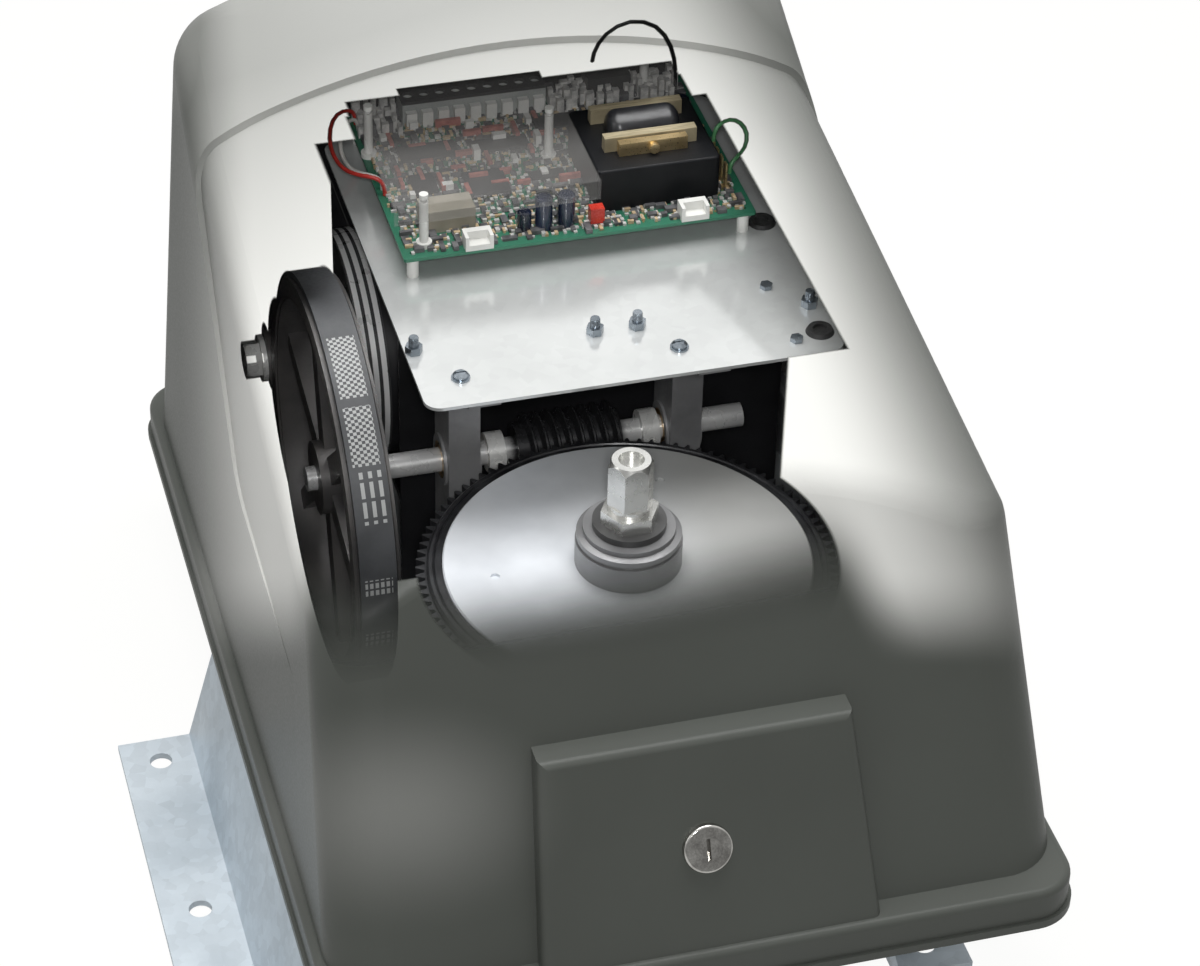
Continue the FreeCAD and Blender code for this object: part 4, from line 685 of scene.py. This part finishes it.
def barrel(tree, place, axis, first, last, radius):
    """The outline of a round bar along X: one end, and the flat sides that its edge lines bound."""
    view = Vector((0, axis.y - EYE.y, axis.z - EYE.z)).normalized()
    edge = Vector((0, -view.z, view.y)) * radius
    sides = [disc(tree, place, "X", Vector((first, axis.y, axis.z)), radius, FINE_EDGE)]
    for line, below, above in ((axis + edge, radius, 0), (axis - edge, 0, radius)):
        sides.append(oblong(tree, place, "Y", line.y, Vector((first, 0, line.z - below)),
                            Vector((last, 0, line.z + above)), FINE_EDGE))
    return sides


def strokes(tree, place, level, route, radius):
    """1 on the soft curve inside a route of corners, cast onto the upright plane at a level."""
    flat = [EYE + (point - EYE) * ((level - EYE.y) / (point.y - EYE.y)) for point in route]
    middles = [(first + second) / 2 for first, second in zip(flat, flat[1:])]
    marks = []
    for before, corner, after in zip(middles, flat[1:], middles[1:]):
        marks += [before, (before + 2 * corner + after) / 4]
    landed = cast(tree, place, "Y", level)
    nearest = 1.0
    for first, second in zip(marks, marks[1:]):
        run = second - first
        away = vector_sum(tree, "SUBTRACT", landed, first)
        share = node_of(tree, "ShaderNodeClamp", {"Value": along(tree, away, run / run.length_squared)})
        part = scaled(tree, run, share.outputs["Result"])
        nearest = calc(tree, "MINIMUM", nearest, vector_sum(tree, "DISTANCE", away, part, "Value"))
    return ramp(tree, nearest, radius + STROKE_OUTSIDE, radius - STROKE_INSIDE)


material = patchy("moulded_cover_skin", (0.082, 0.088, 0.079), (0.072, 0.077, 0.069), patches=5, grain=700,
                  gloss=(0.36, 0.44), bump=0.00003, Specular_IOR_Level=0.25)
tree = material.node_tree
place = object_place(tree)

# The outlines of what lies behind the cover.
REAR_PART_HEIGHTS = (0.005, 0.010)
WALL_STEP_X, WALL_STEP_Z = 0.05, 0.215
WALL_REAR = 0.290
BELT_BRIDGE_RADIUS = 0.0685
PINION_RADIUS, WASHER_RADIUS, HEAD_RADIUS = 0.0205, 0.0140, 0.0112
STRIP_EDGE, WHEEL_EDGE = 0.0008, 0.0015
overlap = Vector((0.004, 0, 0))
wall_low, wall_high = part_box("motor_enclosure")
wheel_low, wheel_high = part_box("worm_wheel")
washer_left, head_left = (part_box(name)[0].x for name in ("pulley_washer", "pulley_bolt"))
drive_axis = Vector((belt_low.x, worm_centre.y, worm_centre.z))
pinion_axis = Vector((belt_low.x, motor_centre.y, motor_centre.z))
rear_low, rear_high = Vector((board_low.x, 0.300, 0)), Vector((0.168, board_high.y, 0))
shapes = [oblong(tree, place, "Z", plate_top, plate_low - overlap, plate_high),
          oblong(tree, place, "Z", BOARD_TOP, board_low, board_high)]
shapes += [oblong(tree, place, "Z", BOARD_TOP + height, rear_low, rear_high) for height in REAR_PART_HEIGHTS]
shapes += [oblong(tree, place, "Z", strip_high.z, strip_low, strip_high, STRIP_EDGE),
           oblong(tree, place, "Y", wall_low.y, wall_low - overlap,
                  Vector((wall_high.x + overlap.x, 0, WALL_STEP_Z))),
           oblong(tree, place, "Y", wall_low.y, wall_low - overlap, Vector((WALL_STEP_X, 0, plate_top))),
           oblong(tree, place, "X", wall_low.x, wall_low, Vector((0, WALL_REAR, plate_top))),
           disc(tree, place, "Z", Vector((shaft_centre.x, shaft_centre.y, wheel_high.z)),
                (wheel_high.x - wheel_low.x) / 2, WHEEL_EDGE),
           disc(tree, place, "X", Vector((belt_high.x, drive_axis.y, drive_axis.z)), BELT_RADIUS),
           disc(tree, place, "X", (drive_axis + pinion_axis) / 2, BELT_BRIDGE_RADIUS),
           disc(tree, place, "X", pinion_axis, PINION_RADIUS)]
for axis, first, last, radius in ((drive_axis, belt_low.x, belt_high.x, BELT_RADIUS),
                                  (pinion_axis, washer_left, belt_low.x, WASHER_RADIUS),
                                  (pinion_axis, head_left, washer_left, HEAD_RADIUS)):
    shapes += barrel(tree, place, axis, first, last, radius)
for name in ("red_lead", "black_lead", "green_lead"):
    points = lead_points[name]
    shapes.append(strokes(tree, place, points[len(points) // 2].y, points, LEAD_DIAMETER / 2))


def fade(tree, place, direction, start, end):
    """Rises from 0 to 1 along a direction."""
    return ramp(tree, along(tree, place, direction), start, end)


# The clear part ends before the right and rear walls, and fades out towards the skirt.
# Each fade is a direction, and where it starts and ends.
RIGHT_WALL = ((1, 0, 0), 0.215, 0.195)
REAR_WALL = ((0, 1, 0), 0.345, 0.335)
SKIRT = ((0, 0.25, 1), 0.204, 0.264)
cut = combined(tree, "MULTIPLY", [combined(tree, "MAXIMUM", shapes), fade(tree, place, *RIGHT_WALL),
                                  fade(tree, place, *REAR_WALL)])
window = calc(tree, "MULTIPLY", cut, fade(tree, place, *SKIRT))
paint(tree, "Alpha", calc(tree, "SUBTRACT", 1.0, window))

# The painted glow, a painted highlight, lies round the outlines, is strongest towards the front, and leaves the
# front's middle dark.
PAINTED_GLOW_LEFT = ((1, -0.164, 0), -0.188, -0.140)
PAINTED_GLOW_RIGHT = ((-1, 0.07, 0), -0.246, -0.150)
PAINTED_GLOW_FRONT = ((0.248, 1, 0), -0.165, -0.085)
DARK_LEFT = ((1, -0.25, 0), -0.130, -0.110)
DARK_RIGHT = ((-1, 0.05, 0), -0.160, -0.125)
DARK_REAR = ((0.2, 1, 0), -0.02, -0.10)
CREST = ((0, 0.3, 1), 0.40, 0.46)
UPWARD, UPPER_END, LOWER_END, UPPER_SHARE, LOWER_SHARE = (-0.35, 1, 0), 0.44, 0.15, 0.40, 0.96
SHEEN_CENTRE, SHEEN_RADIUS, SHEEN_SHARE = (-0.128, -0.236, plate_top), 0.085, 0.17
CREST_SHARE = 0.15
level_place = cast(tree, place, "Z", plate_top)
upper = ramp(tree, along(tree, level_place, UPWARD), UPPER_END, LOWER_END, UPPER_SHARE, LOWER_SHARE, "LINEAR")
front_middle = combined(tree, "MULTIPLY", [fade(tree, level_place, *edge) for edge in
                                           (DARK_LEFT, DARK_RIGHT, DARK_REAR)])
painted_glow = combined(tree, "MULTIPLY", [fade(tree, level_place, *edge) for edge in
                                    (PAINTED_GLOW_LEFT, PAINTED_GLOW_RIGHT, PAINTED_GLOW_FRONT)] + [
    calc(tree, "SUBTRACT", 1.0, cut), calc(tree, "SUBTRACT", 1.0, front_middle), upper])
# A faint painted sheen spot on the hood's front left.
sheen = ramp(tree, vector_sum(tree, "DISTANCE", level_place, SHEEN_CENTRE, "Value"), SHEEN_RADIUS, 0.0)
# The crest is painted paler as painted top light.
crest = fade(tree, place, *CREST)
painted_glow = combined(tree, "MAXIMUM", [painted_glow, calc(tree, "MULTIPLY", sheen, SHEEN_SHARE),
                                   calc(tree, "MULTIPLY", crest, CREST_SHARE)])
overlay(tree, PAINTED_GLOW_TONE, painted_glow)
dress(material, "cover_shell")


# Cover lock.
# A chromed cam lock through the panel at the front, with a steel cam behind it.
# The chrome is polished, with duller and darker patches.
dress(patchy("lock_chrome", (0.62, 0.61, 0.58), (0.40, 0.39, 0.37), patches=120, grain=900, gloss=(0.10, 0.24),
             Metallic=1.0), "lock_housing", "lock_plug", "lock_cam")


# Floor.
# A plain pale sheet under the machine.
# It keeps the machine's soft shadow.
FLOOR_SIZE, FLOOR_DROP = 8, 0.0005
FLOOR_GLOW = 1.09
GLOW_SHARE = 0.86
GLOSSY_SHARE = 0.25
bpy.ops.mesh.primitive_plane_add(size=FLOOR_SIZE, location=(0, 0, -FLOOR_DROP))
floor = bpy.context.object
floor.name = "studio_floor"
material = bpy.data.materials.new("studio_floor_paper")
material.use_nodes = True
tree = material.node_tree
paper = tree.nodes["Principled BSDF"]
paper.inputs["Base Color"].default_value = (0.5, 0.5, 0.495, 1)
paper.inputs["Roughness"].default_value = 0.9
glow = node_of(tree, "ShaderNodeEmission", {"Color": (1.0, 1.0, 0.99, 1), "Strength": FLOOR_GLOW})
path = node_of(tree, "ShaderNodeLightPath").outputs
shown = combined(tree, "MAXIMUM", [path["Is Camera Ray"], path["Is Transmission Ray"],
                                   calc(tree, "MULTIPLY", path["Is Glossy Ray"], GLOSSY_SHARE)])
mix = node_of(tree, "ShaderNodeMixShader", {"Fac": calc(tree, "MULTIPLY", shown, GLOW_SHARE),
                                            1: paper.outputs["BSDF"], 2: glow.outputs["Emission"]})
tree.links.new(mix.outputs["Shader"], tree.nodes["Material Output"].inputs["Surface"])
floor.data.materials.append(material)


# Studio light.
# A wide soft box overhead, a small one close to the camera, a dim one at the left, and a pale room.
# The room is bright behind the machine and dim in front of it.
def soft_box(name, place, target, width, height, power):
    lamp = bpy.data.lights.new(name, "AREA")
    lamp.shape = "RECTANGLE"
    lamp.size = width
    lamp.size_y = height
    lamp.energy = power
    box = bpy.data.objects.new(name, lamp)
    box.location = place
    box.rotation_euler = (Vector(target) - Vector(place)).to_track_quat("-Z", "Y").to_euler()
    bpy.context.scene.collection.objects.link(box)


soft_box("overhead_soft_box", (0.15, 0.35, 1.80), (0.05, 0.05, 0.2), width=1.3, height=1.0, power=23)
soft_box("front_soft_box", (-0.39, -1.45, 1.465), (0.05, 0.05, 0.2), width=0.16, height=0.16, power=14)
soft_box("left_soft_box", (-1.9, 0.3, 1.0), (0.0, 0.1, 0.2), width=1.0, height=1.2, power=5)
BRIGHT_SIDE = (0.15, 0.75, 0.6)
DIM_SHARE = 0.25
ROOM_LIGHT = 0.38
world = bpy.data.worlds.new("studio_room")
world.use_nodes = True
bpy.context.scene.world = world
tree = world.node_tree
room = tree.nodes["Background"]
room.inputs["Color"].default_value = (1.0, 1.0, 0.99, 1)
toward = along(tree, node_of(tree, "ShaderNodeTexCoord").outputs["Generated"], BRIGHT_SIDE)
depth = ramp(tree, toward, -0.6, 0.6, low=DIM_SHARE, shape="LINEAR")
path = node_of(tree, "ShaderNodeLightPath").outputs
mirrored = calc(tree, "MAXIMUM", path["Is Glossy Ray"], path["Is Transmission Ray"])
lit = ramp(tree, mirrored, 0, 1, low=ROOM_LIGHT, shape="LINEAR")
strength = calc(tree, "MULTIPLY", depth, lit)
tree.links.new(calc(tree, "MAXIMUM", strength, path["Is Camera Ray"]), room.inputs["Strength"])


# Camera.
# It looks down on the machine from the front left, a little rolled, with a long lens.
# Its place comes from lines and circles measured on the machine.
AZIMUTH = math.radians(-16.4601)
ELEVATION = math.radians(38.0634)
ROLL = math.radians(1.6180)
lens = bpy.data.cameras.new("photo_camera")
lens.sensor_width = 36
lens.lens = 108.49
back = Vector((math.sin(AZIMUTH) * math.cos(ELEVATION), -math.cos(AZIMUTH) * math.cos(ELEVATION),
               math.sin(ELEVATION)))
level_side = (-back).cross(Vector((0, 0, 1))).normalized()
upward = level_side.cross(-back)
right = level_side * math.cos(ROLL) + upward * math.sin(ROLL)
up = upward * math.cos(ROLL) - level_side * math.sin(ROLL)
camera = bpy.data.objects.new("photo_camera", lens)
camera.matrix_world = Matrix((right, up, back)).transposed().to_4x4()
camera.location = EYE
bpy.context.scene.collection.objects.link(camera)
bpy.context.scene.camera = camera
bpy.context.scene.view_settings.view_transform = "Standard"
